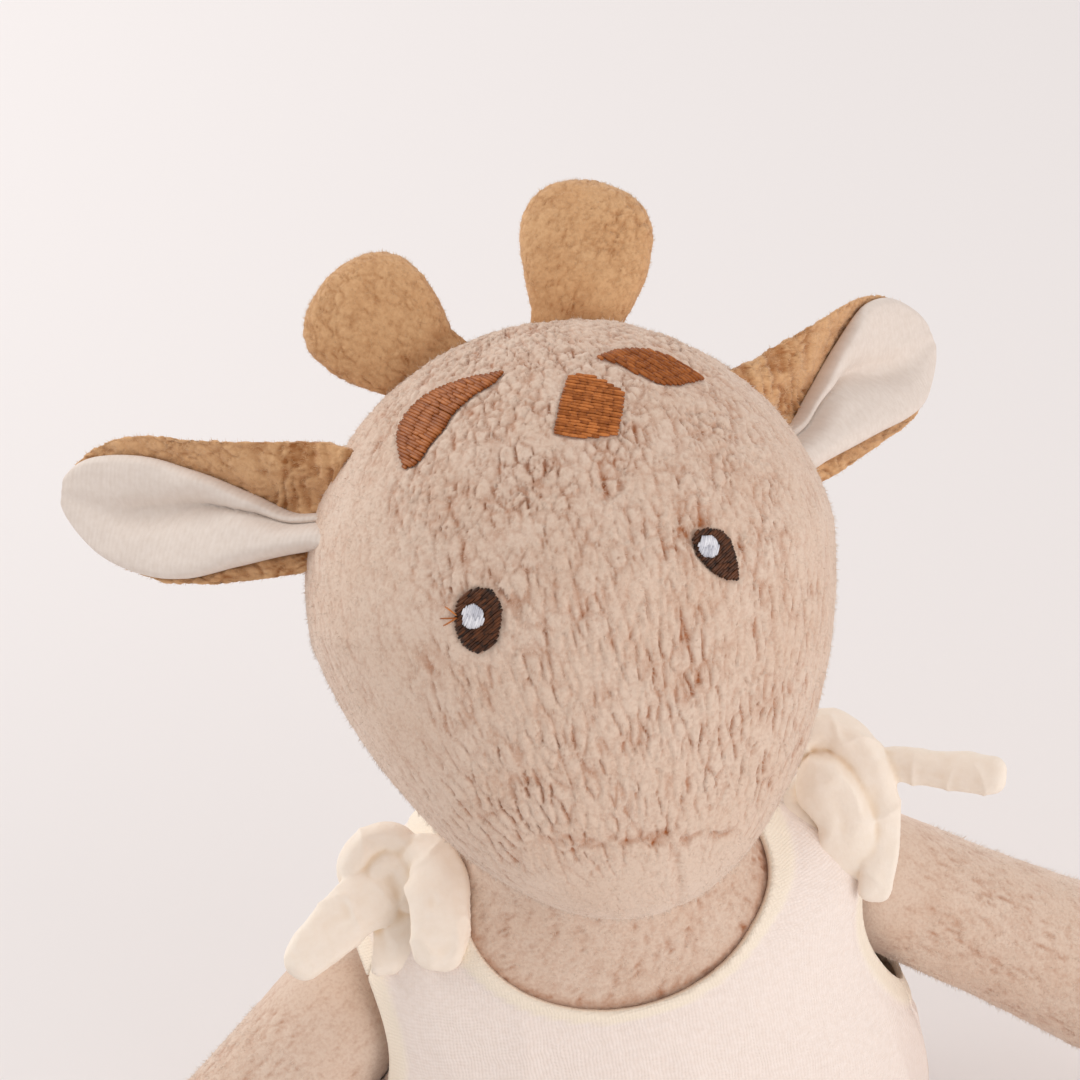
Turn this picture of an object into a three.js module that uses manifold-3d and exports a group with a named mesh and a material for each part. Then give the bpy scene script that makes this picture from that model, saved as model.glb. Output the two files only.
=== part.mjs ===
// A sitting plush giraffe in a romper that ties on the shoulders.
// Millimetres. The origin is on the seat's flat face, +Z is up, the face looks along -Y,
// and +X is the toy's own left.
import * as THREE from 'three';
import { mergeVertices } from 'three/addons/utils/BufferGeometryUtils.js';
import Module from 'manifold-3d';

const wasm = await Module();
wasm.setup();

// Cloths, and the gap between pieces that are sewn or lie together
const plushCloth = 1.8;
const gauzeCloth = 1.2;
const earBackCloth = 2;
const earLiningCloth = 1.2;
const threadHeight = 0.8;
const gap = 0.3;
const cutterOverrun = 60;

// Torso: from the seat to the centre of the round neck end
const neckHeight = 107;
const neckRadius = 21.5;
const neckPlay = 0.6;
const neckMouthRadius = 9;
const torsoHalfWidth = 48;
const torsoHalfDepth = 37;
const spineLean = degrees(10);
const neckBow = degrees(13);

// Head: an egg whose narrow end is the muzzle
const headHalfWidth = 40.5;
const crownLength = 39.5;
const muzzleLength = 51.5;
const faceDepth = 34;
const napeDepth = 36;
const muzzleWidthTaperShare = 0.17;
const muzzleDepthTaperShare = 0.3;
const headLean = degrees(40);
const headForward = 4;
const headRise = 47;
const headSeam = 0.8;

// Ears: leaves of two cloths, cupped towards the face
const earLength = 42;
const earHalfWidth = 11;
const earCup = 4.5;
const earHeight = 18;
const earSetBack = 2;
const earRootOverrun = 5;

// Ossicones: lightly stuffed paddles
const ossiconeHalfWidth = 10;
const ossiconeHalfDepth = 3.8;
const ossiconeRootOverrun = 5;
const ossiconeSetBack = 2;
const leftOssiconeOut = 10.5;
const leftOssiconeHeight = 22;
const rightOssiconeOut = 14.4;
const rightOssiconeHeight = 20.5;
const ossiconeBackLean = degrees(10);

// Embroidery on the face
const eyeSpacing = 34.6;
const eyeHeight = -0.7;
const eyeHalfWidth = 3.2;
const eyeHalfHeight = 4.7;
const glintHalfWidth = 1.4;
const glintRise = 0.9;
const foreheadPatchHalfHeight = 4.4;
const foreheadPatchHalfWidth = 4.4;
const foreheadPatchHeight = 24.3;
const foreheadPatchOffset = 2.5;
const crescentHalfWidth = 2.9;
const crescentInner = 6.5;
const crescentOuter = 23.5;
const crescentHeight = 31.8;
const crescentDrop = 8.4;

// Limbs
const armLength = 78;
const armRootRadius = 12;
const armEndRadius = 14.2;
const armOut = 47.5;
const armHeight = 66;
const armSplay = degrees(35);
const armForward = degrees(14);
const legLength = 92;
const legRootRadius = 13;
const legEndRadius = 15;
const legOut = 24.5;
const legForward = 27;
const legSplay = degrees(18);
const legLift = degrees(25);
const legDrop = degrees(85);
const footFlatDepth = 0.5;
const limbMouthRadius = 4;

// Romper
const romperEase = 3;
const armholeEase = 2.4;
const legHoleEase = 1.6;
const necklineHalfWidth = 25.5;
const necklineBelowNeck = 14;
const necklineFrontDepth = 12;
const necklineBackDepth = 10;
const crotchSeamForward = 9;
const knotRadius = 5.6;
const knotRoll = 3.9;
const knotOut = 40;
const knotBelowNeck = 14;
const knotForward = 2;
const tieLength = 27;
const tieHalfWidth = 4.6;
const tieHalfThickness = 2.2;

// Facets
const torsoSides = 24;
const headSides = 22;
const headRings = 14;
const limbSides = 12;

// Each side's own pose: the toy is hand sewn, so left and right differ a little
const sides = [
  {
    name: 'left',
    side: 1,
    earSweep: degrees(37),
    earRise: degrees(9),
    ossiconeOut: leftOssiconeOut,
    ossiconeHeight: leftOssiconeHeight,
    ossiconeLean: degrees(22),
    tieRise: degrees(8),
  },
  {
    name: 'right',
    side: -1,
    earSweep: degrees(32),
    earRise: degrees(20),
    ossiconeOut: rightOssiconeOut,
    ossiconeHeight: rightOssiconeHeight,
    ossiconeLean: degrees(33),
    tieRise: degrees(-34),
  },
];

const materials = {
  plush: { color: 0xcbb09a, roughness: 0.95, metalness: 0 },
  tanPlush: { color: 0xc4986a, roughness: 0.95, metalness: 0 },
  lining: { color: 0xe6dfd6, roughness: 0.9, metalness: 0 },
  gauze: { color: 0xf3e7d7, roughness: 0.9, metalness: 0 },
  brownThread: { color: 0xa0602f, roughness: 0.6, metalness: 0 },
  darkThread: { color: 0x4b2c1d, roughness: 0.6, metalness: 0 },
  whiteThread: { color: 0xe8e6e6, roughness: 0.55, metalness: 0 },
  fibre: { color: 0xf1efe9, roughness: 1, metalness: 0 },
};

function degrees(value) {
  return THREE.MathUtils.degToRad(value);
}

// Geometry and solids

function outward(geometry) {
  const position = geometry.attributes.position;
  const index = geometry.index;
  const [a, b, c] = [new THREE.Vector3(), new THREE.Vector3(), new THREE.Vector3()];
  let volume = 0;
  for (let i = 0; i < index.count; i += 3) {
    a.fromBufferAttribute(position, index.getX(i));
    b.fromBufferAttribute(position, index.getX(i + 1));
    c.fromBufferAttribute(position, index.getX(i + 2));
    volume += a.dot(b.cross(c));
  }
  if (volume < 0) {
    for (let i = 0; i < index.count; i += 3) {
      const first = index.getX(i);
      index.setX(i, index.getX(i + 1));
      index.setX(i + 1, first);
    }
  }
  return geometry;
}

// Rings of points, closed at both ends by a point. From side crossedFrom on, the quads are cut
// by their other diagonal.
function ringForm(rings, firstPole, lastPole, crossedFrom = Infinity) {
  const count = rings[0].length;
  const points = [firstPole, ...rings.flat(), lastPole];
  const at = (ring, side) => 1 + ring * count + (side % count);
  const index = [];
  for (let side = 0; side < count; side += 1) {
    index.push(0, at(0, side + 1), at(0, side));
    index.push(points.length - 1, at(rings.length - 1, side), at(rings.length - 1, side + 1));
    for (let ring = 0; ring + 1 < rings.length; ring += 1) {
      const corners = [at(ring, side), at(ring, side + 1), at(ring + 1, side + 1), at(ring + 1, side)];
      const [a, b, c, d] = side < crossedFrom ? corners : [corners[3], ...corners.slice(0, 3)];
      index.push(a, b, d, d, b, c);
    }
  }
  const geometry = new THREE.BufferGeometry().setFromPoints(points);
  geometry.setIndex(index);
  return outward(geometry);
}

// A sheet with a thickness: rows of points on its lower face and on its upper one, both with
// the same diagonals
function sheetForm(lower, upper) {
  const rings = lower.map((row, i) => [...row, ...upper[i].slice().reverse()]);
  const middle = (ring) => (
    ring.reduce((sum, point) => sum.add(point), new THREE.Vector3()).divideScalar(ring.length)
  );
  return ringForm(rings, middle(rings[0]), middle(rings[rings.length - 1]), lower[0].length);
}

// An oval tube along a curve, each section given as shares of the half width and half thickness
function clothTube(curve, sections, halfWidth, halfThickness, count) {
  const frames = curve.computeFrenetFrames(sections.length - 1);
  const rings = sections.map(([widthShare, thicknessShare], i) => {
    const centre = curve.getPointAt(i / (sections.length - 1));
    return Array.from({ length: count }, (_, side) => {
      const angle = (2 * Math.PI * side) / count;
      return centre.clone()
        .addScaledVector(frames.normals[i], halfThickness * thicknessShare * Math.sin(angle))
        .addScaledVector(frames.binormals[i], halfWidth * widthShare * Math.cos(angle));
    });
  });
  return ringForm(rings, curve.getPointAt(0), curve.getPointAt(1));
}

function solid(geometry) {
  const plain = geometry.clone();
  plain.deleteAttribute('normal');
  plain.deleteAttribute('uv');
  const merged = mergeVertices(plain);
  return new wasm.Manifold(new wasm.Mesh({
    numProp: 3,
    vertProperties: Float32Array.from(merged.attributes.position.array),
    triVerts: Uint32Array.from(merged.index.array),
  }));
}

function geometryOf(body) {
  const mesh = body.getMesh();
  const geometry = new THREE.BufferGeometry();
  geometry.setAttribute('position', new THREE.BufferAttribute(mesh.vertProperties, 3));
  geometry.setIndex(new THREE.BufferAttribute(mesh.triVerts, 1));
  geometry.computeVertexNormals();
  return geometry;
}

function subtractAll(body, cutters) {
  return cutters.reduce((rest, cutter) => rest.subtract(cutter), body);
}

function piece(name, geometry, material) {
  const mesh = new THREE.Mesh(geometry, new THREE.MeshStandardMaterial(materials[material]));
  mesh.name = name;
  return mesh;
}

// A cover with its wall, and the filling that it is stuffed with
function stuffed(name, form, cutters, mouths) {
  const cover = subtractAll(solid(form(0)).subtract(solid(form(plushCloth))), [...cutters, ...mouths]);
  const filling = subtractAll(solid(form(plushCloth + gap)), cutters);
  return [
    piece(`${name}_cover`, geometryOf(cover), 'plush'),
    piece(`${name}_filling`, geometryOf(filling), 'fibre'),
  ];
}

// The spine leans back from the seat and the neck bows forward again
function spine(height) {
  const share = height / neckHeight;
  const bow = (Math.tan(spineLean) + Math.tan(neckBow)) / 4;
  return {
    centre: new THREE.Vector3(0, height * Math.tan(spineLean) - bow * neckHeight * share ** 4, height),
    tilt: neckBow * Math.max(share, 0) ** 3,
  };
}

function ovalRing(centre, tilt, halfWidth, halfDepth, count) {
  return Array.from({ length: count }, (_, side) => {
    const angle = (2 * Math.PI * side) / count;
    const depth = halfDepth * Math.sin(angle);
    return new THREE.Vector3(
      centre.x + halfWidth * Math.cos(angle),
      centre.y + depth * Math.cos(tilt),
      centre.z + depth * Math.sin(tilt),
    );
  });
}

const neckEnd = spine(neckHeight);
const neckCentre = neckEnd.centre;
const neckAxis = new THREE.Vector3(0, -Math.sin(neckEnd.tilt), Math.cos(neckEnd.tilt));

// Torso

// Height from seat to neck, then width and depth from neck to belly, then looseness of the romper
const torsoShares = [
  [0, 0.43, 0.3, 0.3],
  [0.04, 0.74, 0.68, 0.6],
  [0.12, 0.94, 0.93, 1],
  [0.27, 1, 1, 1],
  [0.46, 0.94, 0.87, 0.8],
  [0.63, 0.82, 0.65, 0.4],
  [0.745, 0.72, 0.45, 0.15],
  [0.82, 0.51, 0.26, 0],
  [0.885, 0.21, 0.1, 0],
  [0.935, 0.06, 0.02, 0],
  [1, 0, 0, 0],
];
const neckCapAngles = [22.5, 45, 67.5].map(degrees);
const torsoBase = gauzeCloth + gap;

function torsoForm(inset, ease = 0) {
  const base = torsoBase + inset;
  const endRadius = neckRadius - inset;
  const rings = torsoShares.map(([heightShare, widthShare, depthShare, easeShare]) => {
    const { centre, tilt } = spine(THREE.MathUtils.lerp(base, neckHeight, heightShare));
    const loose = ease * easeShare;
    const halfWidth = THREE.MathUtils.lerp(neckRadius, torsoHalfWidth, widthShare) - inset + loose;
    const halfDepth = THREE.MathUtils.lerp(neckRadius, torsoHalfDepth, depthShare) - inset + loose;
    return ovalRing(centre, tilt, halfWidth, halfDepth, torsoSides);
  });
  for (const angle of neckCapAngles) {
    const centre = neckCentre.clone().addScaledVector(neckAxis, endRadius * Math.sin(angle));
    const radius = endRadius * Math.cos(angle);
    rings.push(ovalRing(centre, neckEnd.tilt, radius, radius, torsoSides));
  }
  return ringForm(rings, spine(base).centre, neckCentre.clone().addScaledVector(neckAxis, endRadius));
}

// The hollow that an arm turns in: its round root and slanting shaft, turned about the hinge axis
function armHollow(side, clearance) {
  const radius = armRootRadius + clearance;
  const slant = armSlant();
  const steps = 8;
  const profile = Array.from({ length: steps + 1 }, (_, i) => {
    const angle = THREE.MathUtils.lerp(-Math.PI / 2, -slant, i / steps);
    return new THREE.Vector2(radius * Math.cos(angle), radius * Math.sin(angle));
  });
  profile[0].x = 0;
  const reach = armLength + cutterOverrun;
  const out = new THREE.Vector2(Math.sin(slant), Math.cos(slant));
  const rim = profile[steps].clone().addScaledVector(out, reach);
  profile.push(rim, new THREE.Vector2(0, rim.y));
  const hollow = new THREE.LatheGeometry(profile, torsoSides);
  hollow.rotateZ((-side * Math.PI) / 2);
  const centre = armRoot(side);
  hollow.translate(centre.x, centre.y, centre.z);
  return solid(outward(mergeVertices(bare(hollow))));
}

function bare(geometry) {
  geometry.deleteAttribute('normal');
  geometry.deleteAttribute('uv');
  return geometry;
}

function armRoot(side) {
  return new THREE.Vector3(side * armOut, spine(armHeight).centre.y, armHeight);
}

function armDirection(side) {
  return new THREE.Vector3(
    side * Math.cos(armSplay) * Math.cos(armForward),
    -Math.sin(armForward),
    -Math.sin(armSplay) * Math.cos(armForward),
  );
}

function armSlant() {
  return Math.acos(armDirection(1).x);
}

// Legs lie level, with their own frame: X is the hinge axis, Y is up and Z runs to the foot
function legFrame(side) {
  const along = new THREE.Vector3(side * Math.sin(legSplay), -Math.cos(legSplay), 0);
  const up = new THREE.Vector3(0, 0, 1);
  const across = up.clone().cross(along);
  const root = new THREE.Vector3(side * legOut, -legForward, legEndRadius - footFlatDepth);
  return new THREE.Matrix4().makeBasis(across, up, along).setPosition(root);
}

// The space that a leg swings through, from lifted to hanging down
function legHollow(side, clearance) {
  const radius = legRootRadius + clearance;
  const reach = legLength + cutterOverrun;
  const ray = (angle, along, aside) => new THREE.Vector2(
    along * Math.cos(angle) - aside * Math.sin(angle),
    along * Math.sin(angle) + aside * Math.cos(angle),
  );
  const outline = new THREE.Shape();
  const high = ray(legLift, reach, radius);
  const hip = ray(legLift, 0, radius);
  const low = ray(-legDrop, reach, -radius);
  outline.moveTo(high.x, high.y);
  outline.lineTo(hip.x, hip.y);
  outline.absarc(0, 0, radius, Math.PI / 2 + legLift, 1.5 * Math.PI - legDrop, false);
  outline.lineTo(low.x, low.y);
  outline.lineTo(reach, low.y);
  outline.closePath();
  const slab = new THREE.ExtrudeGeometry(outline, {
    depth: 2 * radius,
    bevelEnabled: false,
    curveSegments: 6,
  });
  slab.translate(0, 0, -radius);
  slab.rotateY(-Math.PI / 2);
  slab.applyMatrix4(legFrame(side));
  return solid(slab);
}

const torso = new THREE.Group();
const neckMouth = new THREE.CylinderGeometry(neckMouthRadius, neckMouthRadius, neckRadius, limbSides);
neckMouth.rotateX(Math.PI / 2 + neckEnd.tilt);
const mouthCentre = neckCentre.clone().addScaledVector(neckAxis, neckRadius);
neckMouth.translate(mouthCentre.x, mouthCentre.y, mouthCentre.z);
const torsoCutters = sides.flatMap(({ side }) => [armHollow(side, gap), legHollow(side, gap)]);
torso.add(...stuffed('torso', torsoForm, torsoCutters, [solid(neckMouth)]));

// Head

// Half width, depth of the face and depth of the nape at a height on the egg
function headSection(height, inset) {
  const length = (height < 0 ? muzzleLength : crownLength) - inset;
  const along = Math.min(Math.abs(height) / length, 1);
  const narrow = height < 0 ? along : 0;
  const round = Math.sqrt(1 - along * along);
  const depthTaper = 1 - muzzleDepthTaperShare * narrow;
  return {
    halfWidth: (headHalfWidth - inset) * (1 - muzzleWidthTaperShare * narrow) * round,
    face: (faceDepth - inset) * depthTaper * round,
    nape: (napeDepth - inset) * depthTaper * round,
  };
}

function headForm(inset) {
  const rings = [];
  for (let ring = 1; ring < headRings; ring += 1) {
    const angle = (Math.PI * ring) / headRings;
    const length = (angle > Math.PI / 2 ? muzzleLength : crownLength) - inset;
    const height = length * Math.cos(angle);
    const { halfWidth, face, nape } = headSection(height, inset);
    rings.push(Array.from({ length: headSides }, (_, side) => {
      const turn = (2 * Math.PI * side) / headSides;
      const depth = Math.sin(turn) < 0 ? face : nape;
      return new THREE.Vector3(halfWidth * Math.cos(turn), depth * Math.sin(turn), height);
    }));
  }
  const crown = new THREE.Vector3(0, 0, crownLength - inset);
  const muzzle = new THREE.Vector3(0, 0, inset - muzzleLength);
  return ringForm(rings, crown, muzzle);
}

// The point of the face at a place seen from the front, raised above it
function onFace(x, height, raised) {
  const { halfWidth, face } = headSection(height, -raised);
  return new THREE.Vector3(x, -face * Math.sqrt(Math.max(0, 1 - (x / halfWidth) ** 2)), height);
}

const head = new THREE.Group();
head.position.copy(neckCentre);
const egg = new THREE.Group();
egg.position.set(0, -headForward, headRise);
egg.rotation.x = -headLean;
head.add(egg);
head.updateMatrixWorld(true);

const neckSocket = new THREE.SphereGeometry(neckRadius + neckPlay, torsoSides, limbSides);
const socketCentre = egg.worldToLocal(neckCentre.clone());
neckSocket.translate(socketCentre.x, socketCentre.y, socketCentre.z);
egg.add(...stuffed('head', headForm, [solid(neckSocket)], []));

// Satin stitch: a patch along a centre line on the face, with its half width at each step
function stitchedPatch(line, halfWidths, raised, thickness) {
  const across = 2;
  const rows = (height) => line.map((point, i) => {
    const before = line[Math.max(i - 1, 0)];
    const after = line[Math.min(i + 1, line.length - 1)];
    const aside = new THREE.Vector2(before.y - after.y, after.x - before.x).normalize();
    return Array.from({ length: across + 1 }, (_, j) => {
      const place = point.clone().addScaledVector(aside, halfWidths[i] * ((2 * j) / across - 1));
      return onFace(place.x, place.y, height);
    });
  });
  return sheetForm(rows(raised), rows(raised + thickness));
}

function ovalPatch(centre, halfWidth, halfHeight, raised, thickness) {
  const steps = 6;
  const endShare = 0.14;
  const angles = Array.from({ length: steps + 1 }, (_, i) => (
    THREE.MathUtils.lerp(endShare, 1 - endShare, i / steps) * Math.PI
  ));
  const line = angles.map((angle) => new THREE.Vector2(centre.x, centre.y + halfHeight * Math.cos(angle)));
  return stitchedPatch(line, angles.map((angle) => halfWidth * Math.sin(angle)), raised, thickness);
}

function foreheadPatch() {
  const steps = 4;
  const line = Array.from({ length: steps + 1 }, (_, i) => new THREE.Vector2(
    foreheadPatchOffset,
    foreheadPatchHeight + foreheadPatchHalfHeight * ((2 * i) / steps - 1),
  ));
  const narrowingShares = [1, 0.95, 0.88, 0.8, 0.7];
  const halfWidths = narrowingShares.map((share) => foreheadPatchHalfWidth * share);
  return stitchedPatch(line, halfWidths, gap, threadHeight);
}

function crescent(side) {
  const shares = [0, 0.1, 0.25, 0.4, 0.55, 0.7, 0.85, 1];
  const line = shares.map((share) => new THREE.Vector2(
    side * THREE.MathUtils.lerp(crescentInner, crescentOuter, share),
    crescentHeight - crescentDrop * share ** 2,
  ));
  const widthShares = [0.12, 0.45, 0.85, 1, 1, 0.85, 0.5, 0.15];
  const halfWidths = widthShares.map((share) => crescentHalfWidth * share);
  return stitchedPatch(line, halfWidths, gap, threadHeight);
}

egg.add(piece('forehead_patch_centre', foreheadPatch(), 'brownThread'));

// A leaf of cloth in the ear's frame: X along the ear, Y across it, Z out of the lining
const liningWidthShare = 0.92;
const liningLengthShare = 0.97;

function earLeaf(low, high, widthShare, lengthShare) {
  const stepsAlong = 9;
  const stepsAcross = 6;
  const widestShare = 0.5;
  const rootShare = 0.72;
  const tipShare = 0.985;
  const cupBiasShare = 0.8;
  const startShare = -earRootOverrun / earLength;
  const rows = (height) => Array.from({ length: stepsAlong + 1 }, (_, i) => {
    const along = THREE.MathUtils.lerp(startShare, tipShare, Math.sin((Math.PI / 2) * (i / stepsAlong)));
    const out = Math.max(along, 0);
    const round = out > widestShare
      ? Math.sqrt(1 - ((out - widestShare) / (1 - widestShare)) ** 2)
      : 1 - (1 - rootShare) * ((widestShare - out) / widestShare) ** 2;
    const cup = earCup * Math.sin(Math.PI * (out * lengthShare) ** cupBiasShare);
    return Array.from({ length: stepsAcross + 1 }, (_, j) => {
      const across = (2 * j) / stepsAcross - 1;
      return new THREE.Vector3(
        earLength * lengthShare * along,
        earHalfWidth * widthShare * round * across,
        height + cup * (widthShare * across) ** 2,
      );
    });
  });
  return sheetForm(rows(low), rows(high));
}

// Width and depth of the paddle from root to tip
const ossiconeShares = [
  [0.7, 0.12], [0.72, 0.5], [0.7, 0.68], [0.74, 0.8], [0.86, 0.92],
  [0.97, 0.99], [1, 1], [0.95, 0.93], [0.79, 0.78], [0.49, 0.5],
];

function ossiconeForm(height) {
  const line = new THREE.LineCurve3(
    new THREE.Vector3(0, 0, -ossiconeRootOverrun),
    new THREE.Vector3(0, 0, height),
  );
  const count = 14;
  const rings = ossiconeShares.map(([widthShare, depthShare], i) => (
    ovalRing(
      line.getPoint(i / ossiconeShares.length),
      0,
      ossiconeHalfWidth * widthShare,
      ossiconeHalfDepth * depthShare,
      count,
    )
  ));
  return ringForm(rings, line.getPoint(0), line.getPoint(1));
}

// A form in a group of the egg, trimmed where it is sewn to the head
function sewnToHead(form, group, seam) {
  group.updateMatrix();
  const trim = headForm(-seam).applyMatrix4(group.matrix.clone().invert());
  return geometryOf(solid(form).subtract(solid(trim)));
}

const up = new THREE.Vector3(0, 0, 1);

for (const { name, side, earSweep, earRise, ossiconeOut, ossiconeHeight, ossiconeLean } of sides) {
  const eye = new THREE.Vector2((side * eyeSpacing) / 2, eyeHeight);
  const glint = new THREE.Vector2(eye.x, eye.y + glintRise);
  egg.add(
    piece(`${name}_eye`, ovalPatch(eye, eyeHalfWidth, eyeHalfHeight, gap, threadHeight), 'darkThread'),
    piece(
      `${name}_eye_highlight`,
      ovalPatch(glint, glintHalfWidth, glintHalfWidth, 2 * gap + threadHeight, threadHeight),
      'whiteThread',
    ),
    piece(`forehead_patch_${name}`, crescent(side), 'brownThread'),
  );

  const ear = new THREE.Group();
  const along = new THREE.Vector3(
    side * Math.cos(earSweep) * Math.cos(earRise),
    Math.sin(earSweep) * Math.cos(earRise),
    Math.sin(earRise),
  );
  const across = up.clone().addScaledVector(along, -along.z).normalize().multiplyScalar(side);
  const out = along.clone().cross(across);
  ear.quaternion.setFromRotationMatrix(new THREE.Matrix4().makeBasis(along, across, out));
  const earSeat = headSection(earHeight, -headSeam);
  ear.position.set(
    side * earSeat.halfWidth * Math.sqrt(1 - (earSetBack / earSeat.nape) ** 2),
    earSetBack,
    earHeight,
  );
  const halfThickness = (earBackCloth + gap + earLiningCloth) / 2;
  const back = earLeaf(-halfThickness, earBackCloth - halfThickness, 1, 1);
  const liningLow = halfThickness - earLiningCloth;
  const lining = earLeaf(liningLow, halfThickness, liningWidthShare, liningLengthShare);
  ear.add(
    piece(`${name}_ear_back`, sewnToHead(back, ear, headSeam), 'tanPlush'),
    piece(`${name}_ear_lining`, sewnToHead(lining, ear, headSeam + gap), 'lining'),
  );
  egg.add(ear);

  const ossicone = new THREE.Group();
  const place = side * ossiconeOut;
  const crownHeight = crownLength + headSeam;
  const outShare = place / headHalfWidth;
  const backShare = ossiconeSetBack / napeDepth;
  const crown = crownHeight * Math.sqrt(1 - outShare ** 2 - backShare ** 2);
  ossicone.position.set(place, ossiconeSetBack, crown);
  ossicone.rotation.set(-ossiconeBackLean, side * ossiconeLean, 0, 'YXZ');
  ossicone.add(piece(`${name}_ossicone`, sewnToHead(ossiconeForm(ossiconeHeight), ossicone, headSeam), 'tanPlush'));
  egg.add(ossicone);
}

// Limbs: a round root, a shaft and a round end, along the limb's own Z

function limbForm(length, rootRadius, endRadius) {
  const shaftShares = [[0.3, 0.1], [0.6, 0.45], [0.85, 0.9], [1, 1]];
  return (inset) => {
    const root = rootRadius - inset;
    const end = endRadius - inset;
    const rings = [-60, -30, 0].map(degrees).map((angle) => (
      [root * Math.sin(angle), root * Math.cos(angle)]
    ));
    for (const [lengthShare, swellShare] of shaftShares) {
      rings.push([(length - endRadius) * lengthShare, THREE.MathUtils.lerp(root, end, swellShare)]);
    }
    for (const angle of [30, 60].map(degrees)) {
      rings.push([length - endRadius + end * Math.sin(angle), end * Math.cos(angle)]);
    }
    const points = rings.map(([height, radius]) => (
      ovalRing(new THREE.Vector3(0, 0, height), 0, radius, radius, limbSides)
    ));
    return ringForm(points, new THREE.Vector3(0, 0, -root), new THREE.Vector3(0, 0, length - inset));
  };
}

function limbMouth(rootRadius) {
  const mouth = new THREE.CylinderGeometry(limbMouthRadius, limbMouthRadius, rootRadius, limbSides);
  mouth.rotateX(Math.PI / 2);
  mouth.translate(0, 0, -rootRadius);
  return solid(mouth);
}

function floorUnderFoot() {
  const floor = new THREE.BoxGeometry(4 * legEndRadius, legEndRadius, 4 * legLength);
  floor.translate(0, -(legEndRadius - footFlatDepth) - legEndRadius / 2, 0);
  return solid(floor);
}

const limbs = new THREE.Group();
for (const { name, side } of sides) {
  const arm = new THREE.Group();
  arm.position.copy(armRoot(side));
  arm.quaternion.setFromUnitVectors(up, armDirection(side));
  arm.add(...stuffed(
    `${name}_arm`,
    limbForm(armLength, armRootRadius, armEndRadius),
    [],
    [limbMouth(armRootRadius)],
  ));
  const leg = new THREE.Group();
  leg.applyMatrix4(legFrame(side));
  leg.add(...stuffed(
    `${name}_leg`,
    limbForm(legLength, legRootRadius, legEndRadius),
    [floorUnderFoot()],
    [limbMouth(legRootRadius)],
  ));
  limbs.add(arm, leg);
}

// Romper: a shell over the torso, open at the neck, the arms and the legs

const necklineTop = neckHeight - necklineBelowNeck;

function necklineCutter(depth, front) {
  const outline = new THREE.Shape();
  const top = neckHeight + neckRadius + cutterOverrun;
  outline.moveTo(necklineHalfWidth, top);
  outline.lineTo(-necklineHalfWidth, top);
  outline.absellipse(0, necklineTop, necklineHalfWidth, depth, Math.PI, 2 * Math.PI, false);
  outline.closePath();
  const reach = torsoHalfDepth + cutterOverrun;
  const cutter = new THREE.ExtrudeGeometry(outline, {
    depth: reach,
    bevelEnabled: false,
    curveSegments: 12,
  });
  cutter.rotateX(Math.PI / 2);
  cutter.translate(0, spine(necklineTop).centre.y + (front ? gap : reach - gap), 0);
  return solid(cutter);
}

// Everything on one side of the side seams, which lean back with the spine
function seamHalf(front) {
  const size = 2 * (neckHeight + cutterOverrun);
  const half = new THREE.BoxGeometry(size, size, size);
  const shift = (size + gap) / 2;
  half.translate(0, front ? -shift : shift, 0);
  half.rotateX(-spineLean);
  half.translate(0, -crotchSeamForward, 0);
  return solid(half);
}

const romper = new THREE.Group();
const romperShell = subtractAll(
  solid(torsoForm(-gap - gauzeCloth, romperEase)).subtract(solid(torsoForm(-gap, romperEase))),
  [
    necklineCutter(necklineFrontDepth, true),
    necklineCutter(necklineBackDepth, false),
    ...sides.flatMap(({ side }) => [armHollow(side, gap + armholeEase), legHollow(side, gap + legHoleEase)]),
  ],
);
romper.add(
  piece('romper_front', geometryOf(romperShell.intersect(seamHalf(true))), 'gauze'),
  piece('romper_back', geometryOf(romperShell.intersect(seamHalf(false))), 'gauze'),
);

// Width and thickness along the core of a knot and along a tie end, then the way of the two ends
const knotFlatShare = 0.9;
const knotCoreShares = [[0.5, 0.5], [0.95, 0.95], [1, 1], [0.95, 0.95], [0.5, 0.5]];
const tieShares = [[0.6, 1], [0.8, 1], [0.95, 1], [1.1, 1], [1, 0.9], [0.6, 0.6]];
const outTieBendShares = [0.5, 0, 0.1];
const backTieBendShares = [0, 0.35, 0.12];
const backTieEndShares = [0.1, 0.62, -0.25];

// Shoulder knot: one strap end rolled round the other, with two free ends
function shoulderKnot(side, tieRise) {
  const shoulder = spine(neckHeight - knotBelowNeck).centre;
  const centre = shoulder.add(new THREE.Vector3(side * knotOut, -knotForward, 0));
  const roll = new THREE.TorusGeometry(knotRadius, knotRoll, 8, 14);
  roll.rotateX(Math.PI / 2 - spineLean);
  roll.scale(1, 1, knotFlatShare);
  roll.translate(centre.x, centre.y, centre.z);
  const coreReach = knotRadius + knotRoll;
  const coreLine = new THREE.LineCurve3(
    centre.clone().add(new THREE.Vector3(0, -coreReach, -coreReach / 2)),
    centre.clone().add(new THREE.Vector3(0, coreReach, -coreReach / 2)),
  );
  const core = clothTube(coreLine, knotCoreShares, knotRadius, knotRadius, 10);
  const tieOut = [Math.cos(tieRise), 0, Math.sin(tieRise)];
  const tieWays = [[outTieBendShares, tieOut], [backTieBendShares, backTieEndShares]];
  const [outTie, backTie] = tieWays.map((ways) => {
    const points = ways.map(([x, y, z]) => (
      centre.clone().add(new THREE.Vector3(side * x, y, z).multiplyScalar(tieLength))
    ));
    const line = new THREE.CatmullRomCurve3([centre, ...points]);
    return clothTube(line, tieShares, tieHalfWidth, tieHalfThickness, 10);
  });
  const knot = [core, outTie, backTie].reduce((sum, form) => sum.add(solid(form)), solid(roll));
  return subtractAll(knot, [solid(torsoForm(-2 * gap - gauzeCloth, romperEase)), armHollow(side, gap)]);
}

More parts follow.
